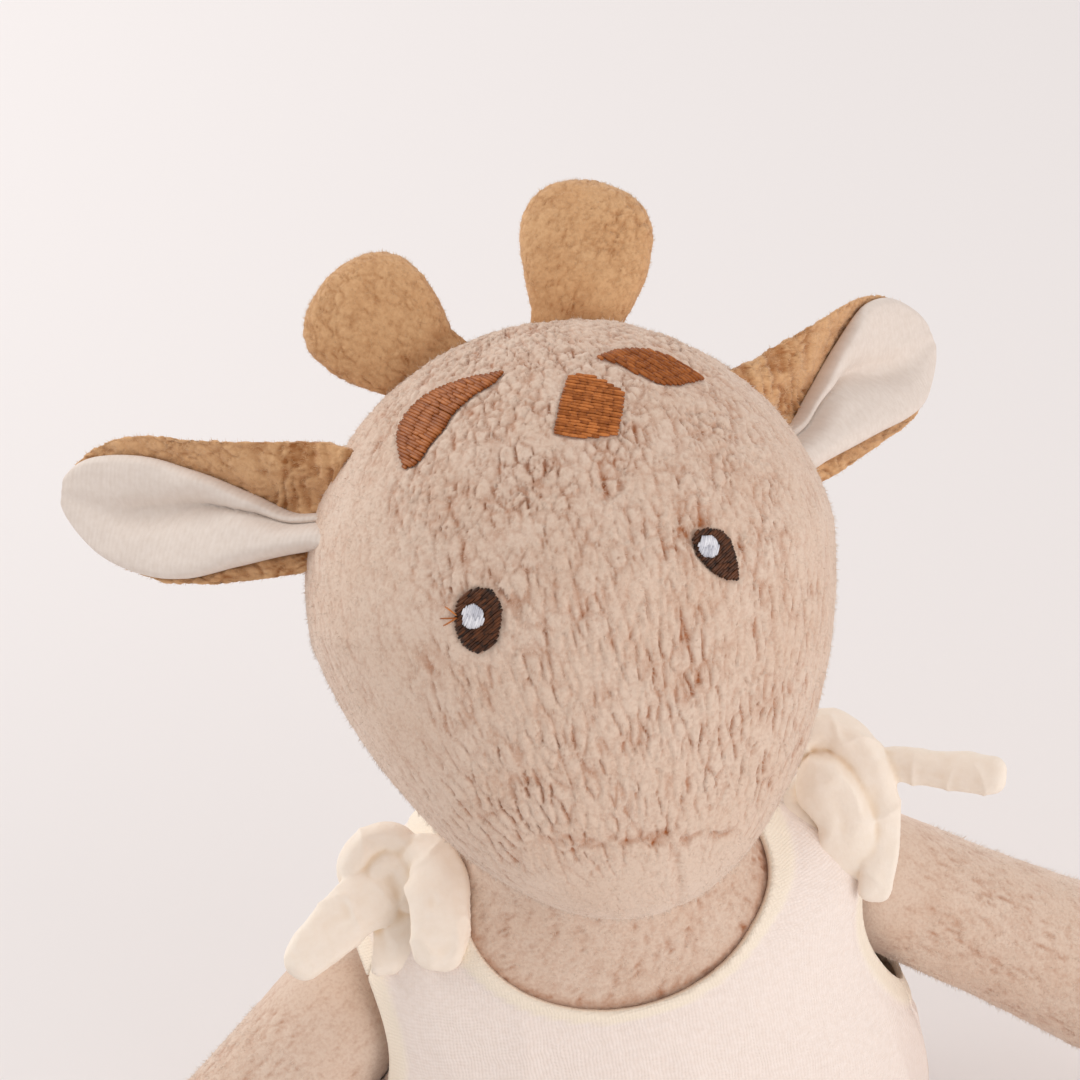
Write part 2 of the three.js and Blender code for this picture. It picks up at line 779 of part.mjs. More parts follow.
for (const { name, side, tieRise } of sides) {
  romper.add(piece(`${name}_shoulder_knot`, geometryOf(shoulderKnot(side, tieRise)), 'gauze'));
}

const giraffe = new THREE.Group();
giraffe.add(torso, head, limbs, romper);

export default giraffe;
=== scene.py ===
# %% [markdown]
# # A plush giraffe in a romper tied on the shoulders
# The real toy is sewn from a short looped-pile plush, turned and stuffed with loose fibre. Its
# face is embroidered, its ears are two cloths with a fold, and it wears a gauze romper. Each of
# those is one surface here, worked out from its real size and then given its cloth.
# The frame below already holds every piece in its place, so the looks are built around it.

# %% Load the fixed frame
import math

import bpy
import numpy as np
from mathutils import Matrix, Vector


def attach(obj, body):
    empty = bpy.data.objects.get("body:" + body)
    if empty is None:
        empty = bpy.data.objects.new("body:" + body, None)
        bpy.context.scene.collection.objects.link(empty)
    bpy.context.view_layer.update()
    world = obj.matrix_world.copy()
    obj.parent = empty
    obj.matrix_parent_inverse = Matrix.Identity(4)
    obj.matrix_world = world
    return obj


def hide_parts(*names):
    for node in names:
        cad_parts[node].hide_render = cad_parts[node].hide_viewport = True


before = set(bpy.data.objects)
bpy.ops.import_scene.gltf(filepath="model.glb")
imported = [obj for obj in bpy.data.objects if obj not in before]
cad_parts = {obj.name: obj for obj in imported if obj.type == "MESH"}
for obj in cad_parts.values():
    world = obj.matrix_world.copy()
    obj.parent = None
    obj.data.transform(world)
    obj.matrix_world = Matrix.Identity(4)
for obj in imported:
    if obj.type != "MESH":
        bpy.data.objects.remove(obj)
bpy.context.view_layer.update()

# %% [markdown]
# ## Working units
# A toy maker works in millimetres, and so do the shapes here. They become metres only when a
# mesh is made. The head leans back, so its own frame is turned once and moved to its centre.

# %% Sizes that the shapes share, in millimetres
METRES = 0.001
GAP = 0.3
PLUSH = 1.8
GAUZE = 1.2
NECK_HEIGHT = 107.0
NECK_RADIUS = 21.5
# The head's hollow is this much wider than the neck end that turns in it
NECK_PLAY = 0.6
SPINE_LEAN = math.radians(10)
NECK_BOW = math.radians(13)
NECK_CENTRE = np.array([0.0, 7.975, 107.0])
HEAD_CENTRE = np.array([0.0, 3.975, 154.0])
HEAD_LEAN = math.radians(40)


def from_head(points):
    """Points of the head's own frame in the toy's frame: a turn about X by the lean, then a move."""
    x, y, z = np.moveaxis(np.asarray(points, float), -1, 0)
    c, s = math.cos(HEAD_LEAN), math.sin(HEAD_LEAN)
    return np.stack([x, y * c + z * s, z * c - y * s], -1) + HEAD_CENTRE


print("face looks along", np.round(from_head([0, -1, 0]) - HEAD_CENTRE, 3))

# %% [markdown]
# ## From a grid of points to a mesh
# Any shape that a function of two parameters gives is a grid of points. Blender's mesh takes
# whole arrays at once, which is far quicker than adding vertices one by one. A tube closes with
# one point at each end, and all that follows it, such as a crease value, goes in as attributes.


# %% Mesh helpers
def sewn_tube(rows, first, last):
    """Rows of points that run round a form, closed by a point at each end: all points, quads and
    triangles. Each quad joins two neighbours of a row to the two in the next row."""
    count, across = rows.shape[:2]
    points = np.concatenate([rows.reshape(-1, 3), [first], [last]])
    at = np.arange(count * across).reshape(count, across)
    after = np.roll(at, -1, axis=1)
    quads = np.stack([at[:-1], after[:-1], after[1:], at[1:]], -1).reshape(-1, 4)
    low = np.stack([after[0], at[0], np.full(across, count * across)], -1)
    high = np.stack([at[-1], after[-1], np.full(across, count * across + 1)], -1)
    return points, quads, np.concatenate([low, high])


def make_piece(name, points, quads, tris, material, values=None, uv=None):
    """A mesh object at the origin, smooth, with its points turned to metres, float values for
    each point under their names, and a UV map in millimetres where one is given."""
    quads, tris = np.asarray(quads, int).reshape(-1, 4), np.asarray(tris, int).reshape(-1, 3)
    corners = np.concatenate([quads.ravel(), tris.ravel()]).astype(np.int32)
    starts = np.concatenate([np.arange(len(quads)) * 4, len(quads) * 4 + np.arange(len(tris)) * 3])
    mesh = bpy.data.meshes.new(name)
    mesh.vertices.add(len(points))
    mesh.vertices.foreach_set("co", (np.asarray(points) * METRES).astype(np.float32).ravel())
    mesh.loops.add(len(corners))
    mesh.loops.foreach_set("vertex_index", corners)
    mesh.polygons.add(len(starts))
    mesh.polygons.foreach_set("loop_start", starts.astype(np.int32))
    mesh.update(calc_edges=True)
    mesh.polygons.foreach_set("use_smooth", np.ones(len(starts), bool))
    for key, value in (values or {}).items():
        mesh.attributes.new(key, "FLOAT", "POINT").data.foreach_set("value", value.astype(np.float32).ravel())
    if uv is not None:
        mesh.uv_layers.new(name="cloth").data.foreach_set("uv", uv[corners].astype(np.float32).ravel())
    mesh.materials.append(material)
    piece = bpy.data.objects.new(name, mesh)
    bpy.context.scene.collection.objects.link(piece)
    return piece


def facing_out(points, quads, tris):
    """The same faces, all turned over where the volume that they enclose comes out negative."""
    a, b, c = (points[quads[:, i]] for i in (0, 1, 2))
    d = points[quads[:, 3]]
    volume = np.einsum("ij,ij->", a, np.cross(b, c)) + np.einsum("ij,ij->", a, np.cross(c, d))
    if volume < 0:
        return quads[:, ::-1], tris[:, ::-1]
    return quads, tris


def unit(vectors):
    """The vectors, each divided by its length."""
    return vectors / np.maximum(np.linalg.norm(vectors, axis=-1, keepdims=True), 1e-9)


def outward(rows):
    """Unit normals of a grid whose rows close: the cross product of its two directions, by
    central differences, all turned over if most of them point to its middle."""
    across = np.roll(rows, -1, 1) - np.roll(rows, 1, 1)
    normal = unit(np.cross(across, np.gradient(rows, axis=0)))
    return normal * np.sign(np.einsum("ijk,ijk->", rows - rows.mean((0, 1)), normal))


def through(places, table, at):
    """A smooth line through given values: cubic pieces whose slope at each value is the
    harmonic mean of the slopes beside it, or zero where they change sign, so it never overshoots."""
    places, table, at = (np.asarray(value, float) for value in (places, table, at))
    table = table.reshape(len(places), -1)
    step = np.diff(places)[:, None]
    rise = np.diff(table, axis=0) / step
    both = rise[:-1] * rise[1:]
    inner = np.where(both > 0, 2 * both / np.where(both > 0, rise[:-1] + rise[1:], 1), 0)
    slope = np.concatenate([rise[:1], inner, rise[-1:]])
    i = np.clip(np.searchsorted(places, at.ravel(), side="right") - 1, 0, len(places) - 2)
    t = ((at.ravel() - places[i]) / step[i, 0])[:, None]
    h = step[i]
    value = (
        (1 + 2 * t) * (1 - t) ** 2 * table[i]
        + t * (1 - t) ** 2 * h * slope[i]
        + t * t * (3 - 2 * t) * table[i + 1]
        + t * t * (t - 1) * h * slope[i + 1]
    )
    return value.reshape(at.shape + (table.shape[1],))


print("helpers ready")

# %% [markdown]
# ## Noise that a cloth can use
# Plush is never even. Two patterns cover it: smooth lumps, from random values on a lattice, and
# clumps with creases between them, from the distances to scattered points. Both take the place
# in space, so a pattern has no seam, and squeezing space along one way draws the clumps out.


# %% Lattice noise and clumps
def scatter(cell, seed):
    """A random number from 0 to 1 for each whole-number place, by mixing the bits of its parts."""
    x, y, z = (cell[..., i].astype(np.int64).astype(np.uint32) for i in range(3))
    n = x * np.uint32(374761393) + y * np.uint32(668265263) + z * np.uint32(2246822519)
    n = n + np.uint32(seed * 3266489917 % 4294967296)
    n = (n ^ (n >> np.uint32(13))) * np.uint32(1274126177)
    n = (n ^ (n >> np.uint32(15))) * np.uint32(2246822519)
    return ((n ^ (n >> np.uint32(16))) & np.uint32(0xFFFFFF)) / 16777216.0


def lumps(places, seed):
    """Smooth noise from -1 to 1: the eight corners' random numbers, blended by 3t^2 - 2t^3."""
    base = np.floor(places)
    t = places - base
    t = t * t * (3 - 2 * t)
    total = np.zeros(places.shape[:-1])
    for corner in np.ndindex(2, 2, 2):
        weight = np.prod(np.where(corner, t, 1 - t), axis=-1)
        total += weight * scatter(base + np.array(corner), seed)
    return 2 * total - 1


def clumps(places, seed):
    """For each place, how much nearer its nearest scattered point is than the second nearest,
    which is 0 on the border between two clumps, and the way across that border."""
    base = np.floor(places)
    near = np.full(places.shape[:-1], 9.0)
    second = near.copy()
    one, two = np.zeros(places.shape), np.zeros(places.shape)
    for corner in np.ndindex(3, 3, 3):
        cell = base + np.array(corner) - 1
        way = cell + np.stack([scatter(cell, seed + i) for i in range(3)], -1) - places
        gap = np.linalg.norm(way, axis=-1)
        first, next_one = gap < near, gap < second
        two = np.where(first[..., None], one, np.where(next_one[..., None], way, two))
        one = np.where(first[..., None], way, one)
        second = np.where(first, near, np.where(next_one, gap, second))
        near = np.where(first, gap, near)
    return second - near, two - one


sample = np.random.default_rng(1).uniform(0, 9, (2000, 3))
print("clump gap, mean", round(float(clumps(sample, 1)[0].mean()), 3))

# %% [markdown]
# ## Materials
# Cloth is rough and has no clear highlight. What tells cloths apart is their structure: looped
# pile with dark creases, crossed yarns of gauze, parallel shiny threads of satin stitch. So each
# material starts from the yarn's own colour, and its bump is spaced as the real yarn is.


# %% Colour and node helpers
def linear(code):
    """An sRGB hex colour as the linear numbers that Blender mixes."""
    parts = np.array([int(code[i : i + 2], 16) for i in (1, 3, 5)]) / 255
    light = np.where(parts <= 0.04045, parts / 12.92, ((parts + 0.055) / 1.055) ** 2.4)
    return (*light, 1.0)


def add(tree, kind, values=None, links=None, **settings):
    """One node with its settings, its socket values, and its links as (node, output)."""
    node = tree.nodes.new(kind)
    for key, value in settings.items():
        setattr(node, key, value)
    for key, value in (values or {}).items():
        node.inputs[key].default_value = value
    for key, (source, output) in (links or {}).items():
        tree.links.new(source.outputs[output], node.inputs[key])
    return node


def new_material(name):
    """An empty material, and its tree with the shader and the output joined."""
    material = bpy.data.materials.new(name)
    material.use_nodes = True
    tree = material.node_tree
    tree.nodes.clear()
    shader = add(tree, "ShaderNodeBsdfPrincipled")
    add(tree, "ShaderNodeOutputMaterial", links={"Surface": (shader, "BSDF")})
    return material, tree, shader


def per_mm(size):
    """The texture scale, in repeats for each metre, of a detail of this many millimetres."""
    return 1000.0 / size


def noise(tree, place, scale, detail, distortion=0.0):
    """A noise texture, read at a node's output."""
    values = {"Scale": scale, "Detail": detail, "Distortion": distortion}
    return add(tree, "ShaderNodeTexNoise", values, {"Vector": place})


def mixed(tree, one, two, factor):
    """Two colours, mixed by a node's output. Each is a hex colour or an earlier mix."""
    values, links = {}, {"Factor": factor}
    for socket, colour in (("A", one), ("B", two)):
        if isinstance(colour, str):
            values[socket] = linear(colour)
        else:
            links[socket] = (colour, "Result")
    return add(tree, "ShaderNodeMix", values, links, data_type="RGBA")


def raised(tree, strength, height, source):
    """A bump of a height in millimetres, from a node's output."""
    values = {"Strength": strength, "Distance": height * METRES}
    return add(tree, "ShaderNodeBump", values, {"Height": source})


def dressed(tree, shader, colour, bump, values):
    """The colour and the bump joined to the shader, and its other sockets set."""
    tree.links.new(colour.outputs["Result"], shader.inputs["Base Color"])
    tree.links.new(bump.outputs["Normal"], shader.inputs["Normal"])
    for key, value in values.items():
        shader.inputs[key].default_value = value


print("a 0.5 mm yarn needs a scale of", per_mm(0.5))

# %% [markdown]
# ## Looped-pile plush
# The cover is a knitted polyester with a pile about 1 mm high, brushed so that it clumps. Light
# sinks between the clumps, so the creases look browner than the tips. The clumps are in the
# mesh, and it hands the crease depth on as an attribute, which the shader paints as a warm brown:
# painted shade in the creases and on the clumps' flanks. The shader only adds single fibres,
# 0.5 mm apart, and a faint change of tone over 9 mm, where the nap lies over.


# %% Plush materials
def plush_material(name, tip, body, crease, sheen):
    """Pile whose tone wanders from the body's colour to the tips' and turns to the crease colour, a
    painted shade, where the attribute crease is high. Single fibres are specks of tone and a fine bump."""
    material, tree, shader = new_material(name)
    place = add(tree, "ShaderNodeTexCoord")
    patchy = noise(tree, (place, "Object"), per_mm(9), 3.0)
    fibres = noise(tree, (place, "Object"), per_mm(0.55), 2.0)
    depth = add(tree, "ShaderNodeAttribute", attribute_name="crease")
    speck = add(
        tree,
        "ShaderNodeMapRange",
        {"From Min": 0.3, "From Max": 0.75, "To Min": -0.12, "To Max": 0.16},
        {"Value": (fibres, "Fac")},
    )
    shade = add(tree, "ShaderNodeMath", links={0: (depth, "Fac"), 1: (speck, "Result")}, operation="ADD")
    tone = mixed(tree, body, tip, (patchy, "Fac"))
    colour = mixed(tree, tone, crease, (shade, "Value"))
    bump = raised(tree, 0.55, 0.25, (fibres, "Fac"))
    finish = {"Roughness": 0.95, "Specular IOR Level": 0.2, "Sheen Weight": sheen}
    soft = {"Sheen Roughness": 0.5, "Sheen Tint": linear("#fff3ea")}
    dressed(tree, shader, colour, bump, finish | soft)
    return material


# The third colour of each plush is painted shade: the brown of the creases between the clumps
beige_plush = plush_material("beige_looped_plush", "#e3cfbe", "#d8bca6", "#a46236", 0.5)
tan_plush = plush_material("tan_looped_plush", "#e0b78a", "#d4a272", "#a2693a", 0.35)
# Lighter copies of both plushes for the fibre tips: painted light on spikes that shade themselves
beige_tips = plush_material("beige_pile_tips", "#f2e1d1", "#e9d3be", "#cea98a", 0.4)
tan_tips = plush_material("tan_pile_tips", "#eac69a", "#dfb587", "#b98550", 0.4)
print("plush:", beige_plush.name, tan_plush.name)

# %% [markdown]
# ## Gauze, jersey, thread and filling
# Double gauze is two loose plain weaves held together, so it is soft and slightly crinkled. Its
# yarns lie 0.6 mm apart, and the two wave textures below are its warp and weft. The ear lining
# is a brushed cotton jersey with fine ribs 0.9 mm apart. Embroidery thread is trilobal
# polyester, the one yarn here that shines, along its length. The filling is crimped fibre.


# %% Gauze and jersey
COTTON = {"Roughness": 0.9, "Specular IOR Level": 0.25, "Sheen Weight": 0.15}


def woven_material(name, light, dark, double, warp_mm, weft_mm, bump_mm, speck):
    """Crossed yarns on the map called cloth. Where the attribute double is 1, as in a hem, the
    cloth lies on itself, lets less light through and looks creamier."""
    material, tree, shader = new_material(name)
    place = add(tree, "ShaderNodeUVMap", uv_map="cloth")
    wobble = noise(tree, (place, "UV"), 0.25, 2.0)
    bent = add(tree, "ShaderNodeVectorMath", {"Scale": 1.2}, {0: (wobble, "Color")}, operation="SCALE")
    spot = add(tree, "ShaderNodeVectorMath", links={0: (place, "UV"), 1: (bent, "Vector")}, operation="ADD")
    waves = [
        add(
            tree,
            "ShaderNodeTexWave",
            {"Scale": 2 * math.pi / (20 * size), "Distortion": 1.2, "Detail": 2.0, "Detail Scale": 1.5},
            {"Vector": (spot, "Vector")},
            bands_direction=way,
        )
        for size, way in ((warp_mm, "X"), (weft_mm, "Y"))
    ]
    weave = add(tree, "ShaderNodeMath", links={0: (waves[0], "Fac"), 1: (waves[1], "Fac")}, operation="ADD")
    slubs = noise(tree, (place, "UV"), 0.9, 4.0)
    shade = add(
        tree,
        "ShaderNodeMapRange",
        {"From Min": 0.35, "From Max": 0.7, "To Min": 0.0, "To Max": speck},
        {"Value": (slubs, "Fac")},
    )
    folded = add(tree, "ShaderNodeAttribute", attribute_name="double")
    colour = mixed(tree, light, dark, (shade, "Result"))
    thick = mixed(tree, colour, double, (folded, "Fac"))
    dressed(tree, shader, thick, raised(tree, 0.6, bump_mm, (weave, "Value")), COTTON)
    return material


def rolled_material(name, light, dark, folded):
    """The same gauze where it is rolled up: too crumpled to see its yarns, so a soft noise. Where
    the attribute fold is high, in the hollows of the folds, the colour turns darker and warmer:
    painted shade, tinted as light that has come through many layers."""
    material, tree, shader = new_material(name)
    place = add(tree, "ShaderNodeTexCoord")
    slubs = noise(tree, (place, "Object"), per_mm(1.6), 4.0)
    fold = add(tree, "ShaderNodeAttribute", attribute_name="fold")
    colour = mixed(tree, light, dark, (slubs, "Fac"))
    warm = mixed(tree, colour, folded, (fold, "Fac"))
    dressed(tree, shader, warm, raised(tree, 0.45, 0.3, (slubs, "Fac")), COTTON)
    return material


gauze = woven_material("cream_double_gauze", "#f7ebe3", "#eedfd4", "#f8ecda", 0.6, 0.65, 0.07, 0.6)
# The third colour is painted shade in the hollows of the knots' folds
rolled_gauze = rolled_material("cream_double_gauze_rolled", "#faf0e4", "#f3e5d4", "#ddbd92")
jersey = woven_material("off_white_brushed_jersey", "#e6dad0", "#dbcdc1", "#e6dad0", 0.9, 3.0, 0.05, 0.6)
print("woven:", gauze.name, jersey.name)


# %% Thread and filling
def thread_material(name, light, dark):
    """Thread that shines a little, from dark to light by the attribute strand, and its twist."""
    material, tree, shader = new_material(name)
    each = add(tree, "ShaderNodeAttribute", attribute_name="strand")
    place = add(tree, "ShaderNodeTexCoord")
    twist = noise(tree, (place, "Object"), per_mm(0.35), 1.0)
    colour = mixed(tree, dark, light, (each, "Fac"))
    bump = raised(tree, 0.3, 0.06, (twist, "Fac"))
    dressed(tree, shader, colour, bump, {"Roughness": 0.38, "Specular IOR Level": 0.28})
    return material


def filling_material():
    """Crimped fibre: one twisted noise gives both its tone and its bump."""
    material, tree, shader = new_material("crimped_polyester_filling")
    place = add(tree, "ShaderNodeTexCoord")
    crimp = noise(tree, (place, "Object"), per_mm(1.4), 6.0, 1.5)
    colour = mixed(tree, "#e6e3dc", "#f7f5f0", (crimp, "Fac"))
    dressed(tree, shader, colour, raised(tree, 0.9, 1.0, (crimp, "Fac")), {"Roughness": 1.0})
    return material


brown_thread = thread_material("chestnut_satin_thread", "#d08042", "#85430f")
dark_thread = thread_material("dark_brown_satin_thread", "#7d4928", "#1f120b")
white_thread = thread_material("white_satin_thread", "#f2f3f8", "#b9bbc6")
filling = filling_material()
print("threads and filling ready")

# %% [markdown]
# ## Camera, floor and light
# The photograph looks down at the face by 40 degrees and a little from the toy's right, with a
# slight roll. The camera stands 430 mm from the middle of the head, where a 95 mm lens takes in
# 163 mm, so the ears show no strong perspective. Light comes from a large soft box behind the
# toy, as from a window, a weaker one in front of it, and the pale room.

# %% Camera
VIEW_TURN, VIEW_DOWN, VIEW_ROLL = math.radians(-10.5), math.radians(40), math.radians(7)
DISTANCE, FRAME_WIDTH, SENSOR = 430.0, 163.0, 36.0
# The picture's middle lies this far left of the head's middle and above it
AIM_LEFT, AIM_UP = 5.13, 6.49
away = np.array(
    [
        math.sin(VIEW_TURN) * math.cos(VIEW_DOWN),
        -math.cos(VIEW_TURN) * math.cos(VIEW_DOWN),
        math.sin(VIEW_DOWN),
    ]
)
level = np.array([math.cos(VIEW_TURN), math.sin(VIEW_TURN), 0.0])
rise = np.cross(away, level)
camera_up = math.cos(VIEW_ROLL) * rise + math.sin(VIEW_ROLL) * level
camera_right = math.cos(VIEW_ROLL) * level - math.sin(VIEW_ROLL) * rise
spot = HEAD_CENTRE + DISTANCE * away - AIM_LEFT * camera_right + AIM_UP * camera_up
camera_data = bpy.data.cameras.new("camera")
camera_data.sensor_width = SENSOR
camera_data.lens = SENSOR * DISTANCE / FRAME_WIDTH
camera_data.clip_start = 0.01
camera = bpy.data.objects.new("camera", camera_data)
camera.matrix_world = Matrix.Translation(Vector(spot * METRES)) @ Matrix(
    np.column_stack([camera_right, camera_up, away]).tolist()
).to_4x4()
bpy.context.scene.collection.objects.link(camera)
bpy.context.scene.camera = camera
print("camera at", np.round(spot), "lens", round(camera_data.lens, 1))

# %% Floor and light
bpy.context.scene.view_settings.view_transform = "Standard"
floor_material, _, floor_shader = new_material("pale_paper_floor")
floor_shader.inputs["Base Color"].default_value = linear("#ebe7e6")
floor_shader.inputs["Roughness"].default_value = 0.9
reach = 3000.0
corners = np.array([[-reach, -reach, 0], [reach, -reach, 0], [reach, reach, 0], [-reach, reach, 0]])
floor = make_piece("floor", corners, [[0, 1, 2, 3]], [], floor_material)

world = bpy.data.worlds.new("pale room")
world.use_nodes = True
world.node_tree.nodes["Background"].inputs["Color"].default_value = linear("#fdf9f8")
world.node_tree.nodes["Background"].inputs["Strength"].default_value = 0.74
bpy.context.scene.world = world


def soft_box(name, place, target, width, power, colour):
    """A square lamp that looks at a point, all in millimetres, with its power in watts."""
    data = bpy.data.lights.new(name, "AREA")
    data.size = width * METRES
    data.energy = power
    data.color = linear(colour)[:3]
    lamp = bpy.data.objects.new(name, data)
    way = Vector(target) - Vector(place)
    lamp.matrix_world = (
        Matrix.Translation(Vector(place) * METRES) @ way.to_track_quat("-Z", "Y").to_matrix().to_4x4()
    )
    bpy.context.scene.collection.objects.link(lamp)


soft_box("window", (-620, 680, 760), (0, 120, 60), 800, 5.6, "#fffefd")
soft_box("bounce", (600, -740, 260), (0, 0, 95), 700, 3.6, "#fffaf8")
print("lamps ready")

# %% [markdown]
# ## The torso under the clothes
# The body is a soft pear that leans back from the seat, with the neck bowed forward again. A
# table of heights with widths and depths, as shares, gives the pear: oval rings go round those
# heights, and the table is read smoothly in between. The limbs sit in dimples. A boolean cut
# would leave hard rims there, so the surface is pushed in to the wall of each limb's space.

# %% Torso surface
TORSO_WIDTH, TORSO_DEPTH = 48.0, 37.0
# Height from seat to neck, width and depth from neck to belly, looseness of the romper
TORSO_SHARES = np.array(
    [
        [0, 0.43, 0.3, 0.3],
        [0.04, 0.74, 0.68, 0.6],
        [0.12, 0.94, 0.93, 1],
        [0.27, 1, 1, 1],
        [0.46, 0.94, 0.87, 0.8],
        [0.63, 0.82, 0.65, 0.4],
        [0.745, 0.72, 0.45, 0.15],
        [0.82, 0.51, 0.26, 0],
        [0.885, 0.21, 0.1, 0],
        [0.935, 0.06, 0.02, 0],
        [1, 0, 0, 0],
    ]
)


def spine(height):
    """How far back the spine is at a height, and its tilt there: a straight lean less a bow that
    grows with the fourth power of the height."""
    share = height / NECK_HEIGHT
    bow = (math.tan(SPINE_LEAN) + math.tan(NECK_BOW)) / 4
    return height * math.tan(SPINE_LEAN) - bow * NECK_HEIGHT * share**4, NECK_BOW * share**3


def torso_table(inset, ease):
    """Centre, tilt, half width and half depth of each ring, from the seat to the round neck end,
    with each ring's place as a share of the way along the outline."""
    base = GAUZE + GAP + inset
    radius = NECK_RADIUS - inset
    heights = base + TORSO_SHARES[:, 0] * (NECK_HEIGHT - base)
    back, tilt = spine(heights)
    loose = ease * TORSO_SHARES[:, 3] - inset
    width = NECK_RADIUS + TORSO_SHARES[:, 1] * (TORSO_WIDTH - NECK_RADIUS) + loose
    depth = NECK_RADIUS + TORSO_SHARES[:, 2] * (TORSO_DEPTH - NECK_RADIUS) + loose
    rings = np.stack([back, heights, tilt, width, depth], -1)
    turn = np.radians([15, 30, 45, 60, 75, 90])
    cap = np.stack(
        [
            NECK_CENTRE[1] - math.sin(NECK_BOW) * radius * np.sin(turn),
            NECK_CENTRE[2] + math.cos(NECK_BOW) * radius * np.sin(turn),
            np.full(6, NECK_BOW),
            radius * np.cos(turn),
            radius * np.cos(turn),
        ],
        -1,
    )
    table = np.concatenate([[[spine(base)[0], base, 0, 0, 0]], rings, cap])
    steps = np.hypot(np.diff(table[:, 1]), np.diff(table[:, 3]))
    places = np.concatenate([[0], np.cumsum(steps)])
    return places / places[-1], table


def torso_surface(turn, share, inset=0.0, ease=0.0):
    """A point of the torso: the ring at that share of the outline, then round it by the turn."""
    row = through(*torso_table(inset, ease), share)
    back, height, tilt, width, depth = np.moveaxis(row, -1, 0)
    behind = depth * np.sin(turn)
    return np.stack(
        [width * np.cos(turn), back + behind * np.cos(tilt), height + behind * np.sin(tilt)], -1
    )


print("torso ends at", np.round(torso_surface(np.zeros(1), np.ones(1))[0], 1))

# %% Limb spaces
ARM_OUT, ARM_HEIGHT, ARM_LENGTH, ARM_ROOT, ARM_END = 47.5, 66.0, 78.0, 12.0, 14.9
LEG_OUT, LEG_FORWARD, LEG_LENGTH, LEG_ROOT, LEG_END = 24.5, 27.0, 92.0, 13.0, 15.0
LEG_SPLAY, LEG_LIFT, LEG_DROP = math.radians(18), math.radians(25), math.radians(85)
FOOT_FLAT = 0.5
ARM_SPLAY, ARM_FORWARD = math.radians(35), math.radians(14)
ARM_SLANT = math.acos(math.cos(ARM_SPLAY) * math.cos(ARM_FORWARD))


def arm_root(side):
    """The shoulder joint: out from the spine at the arm's height."""
    return np.array([side * ARM_OUT, spine(ARM_HEIGHT)[0], ARM_HEIGHT])


def arm_way(side):
    """The arm's way from its root: outwards, down by the splay and a little forward."""
    out = math.cos(ARM_SPLAY) * math.cos(ARM_FORWARD)
    down = math.sin(ARM_SPLAY) * math.cos(ARM_FORWARD)
    return np.array([side * out, -math.sin(ARM_FORWARD), -down])


def leg_frame(side):
    """The leg's root and its three directions: across, up and along."""
    along = np.array([side * math.sin(LEG_SPLAY), -math.cos(LEG_SPLAY), 0])
    across = np.array([math.cos(LEG_SPLAY), side * math.sin(LEG_SPLAY), 0])
    return np.array([side * LEG_OUT, -LEG_FORWARD, LEG_END - FOOT_FLAT]), np.array([across, [0, 0, 1], along])


def arm_clearance(points, side):
    """Distance from the space that the arm's line sweeps as it turns about X: behind the root it
    is the distance to the root, and else that to the slanting side of a cone."""
    place = points - arm_root(side)
    out, off = side * place[..., 0], np.hypot(place[..., 1], place[..., 2])
    c, s = math.cos(ARM_SLANT), math.sin(ARM_SLANT)
    return np.where(out * c + off * s < 0, np.hypot(out, off), off * c - out * s)


def leg_clearance(points, side):
    """Distance from the fan that the leg's line sweeps about the hip, from its drop to its lift:
    across the fan, and in its plane to the nearer of its two edges, or to the hip."""
    root, axes = leg_frame(side)
    across, up, along = np.moveaxis((points - root) @ axes.T, -1, 0)
    flat = np.zeros(along.shape)
    for edge, sign in ((LEG_LIFT, 1), (LEG_DROP, -1)):
        forward = along * math.cos(edge) + sign * up * math.sin(edge)
        beside = sign * up * math.cos(edge) - along * math.sin(edge)
        flat = np.maximum(flat, np.where(forward < 0, np.minimum(np.hypot(up, along), beside), beside))
    behind = (along * math.cos(LEG_LIFT) + up * math.sin(LEG_LIFT) < 0) & (
        along * math.cos(LEG_DROP) - up * math.sin(LEG_DROP) < 0
    )
    return np.hypot(across, np.where(behind, np.hypot(up, along), flat))


def way_out(points, way, inside, reach, halvings):
    """How far each point goes along a way until it is no longer inside: the stretch that holds
    the answer, at first the whole reach, is halved again and again, as in a search for a root."""
    low, high = np.zeros(points.shape[:-1]), np.full(points.shape[:-1], reach)
    for _ in range(halvings):
        middle = (low + high) / 2
        still = inside(points + middle[..., None] * way)
        low, high = np.where(still, middle, low), np.where(still, high, middle)
    return high


def moved_clear(points, distance, way, radius):
    """The points nearer than the radius to a limb's space, moved back along a way until they are
    clear of it."""
    inside = lambda places: distance(places) < radius
    far = way_out(points, way, inside, 4 * radius, halvings=22)
    return points + np.where(inside(points), far, 0)[..., None] * way


def dimpled(points, clearance):
    """The points, with those inside a limb's space moved back to its wall."""
    for side in (1, -1):
        arm = lambda p, side=side: arm_clearance(p, side)
        leg = lambda p, side=side: leg_clearance(p, side)
        points = moved_clear(points, arm, np.array([-side, 0, 0]), ARM_ROOT + clearance)
        points = moved_clear(points, leg, -leg_frame(side)[1][2], LEG_ROOT + clearance)
    return points


def near_limbs(points, reach):
    """From 1 at a limb's wall to 0 a reach away from it."""
    away = [arm_clearance(points, side) - ARM_ROOT for side in (1, -1)]
    away += [leg_clearance(points, side) - LEG_ROOT for side in (1, -1)]
    return np.clip(1 - np.min(away, axis=0) / reach, 0, 1)


print("arm slant", round(math.degrees(ARM_SLANT), 1), "degrees")

# %% [markdown]
# ## The pile of the plush
# Two things make plush: clumps of pile, which shade each other, and loose fibre tips that blur
# the outline. The clumps are a relief of the mesh, 1.7 mm wide and about 0.7 mm deep, drawn out
# along the nap. The tips are thin spikes 0.5 to 1.5 mm long. A particle system could grow them,
# but it would depend on the renderer; spikes of four faces are plain geometry and go anywhere.

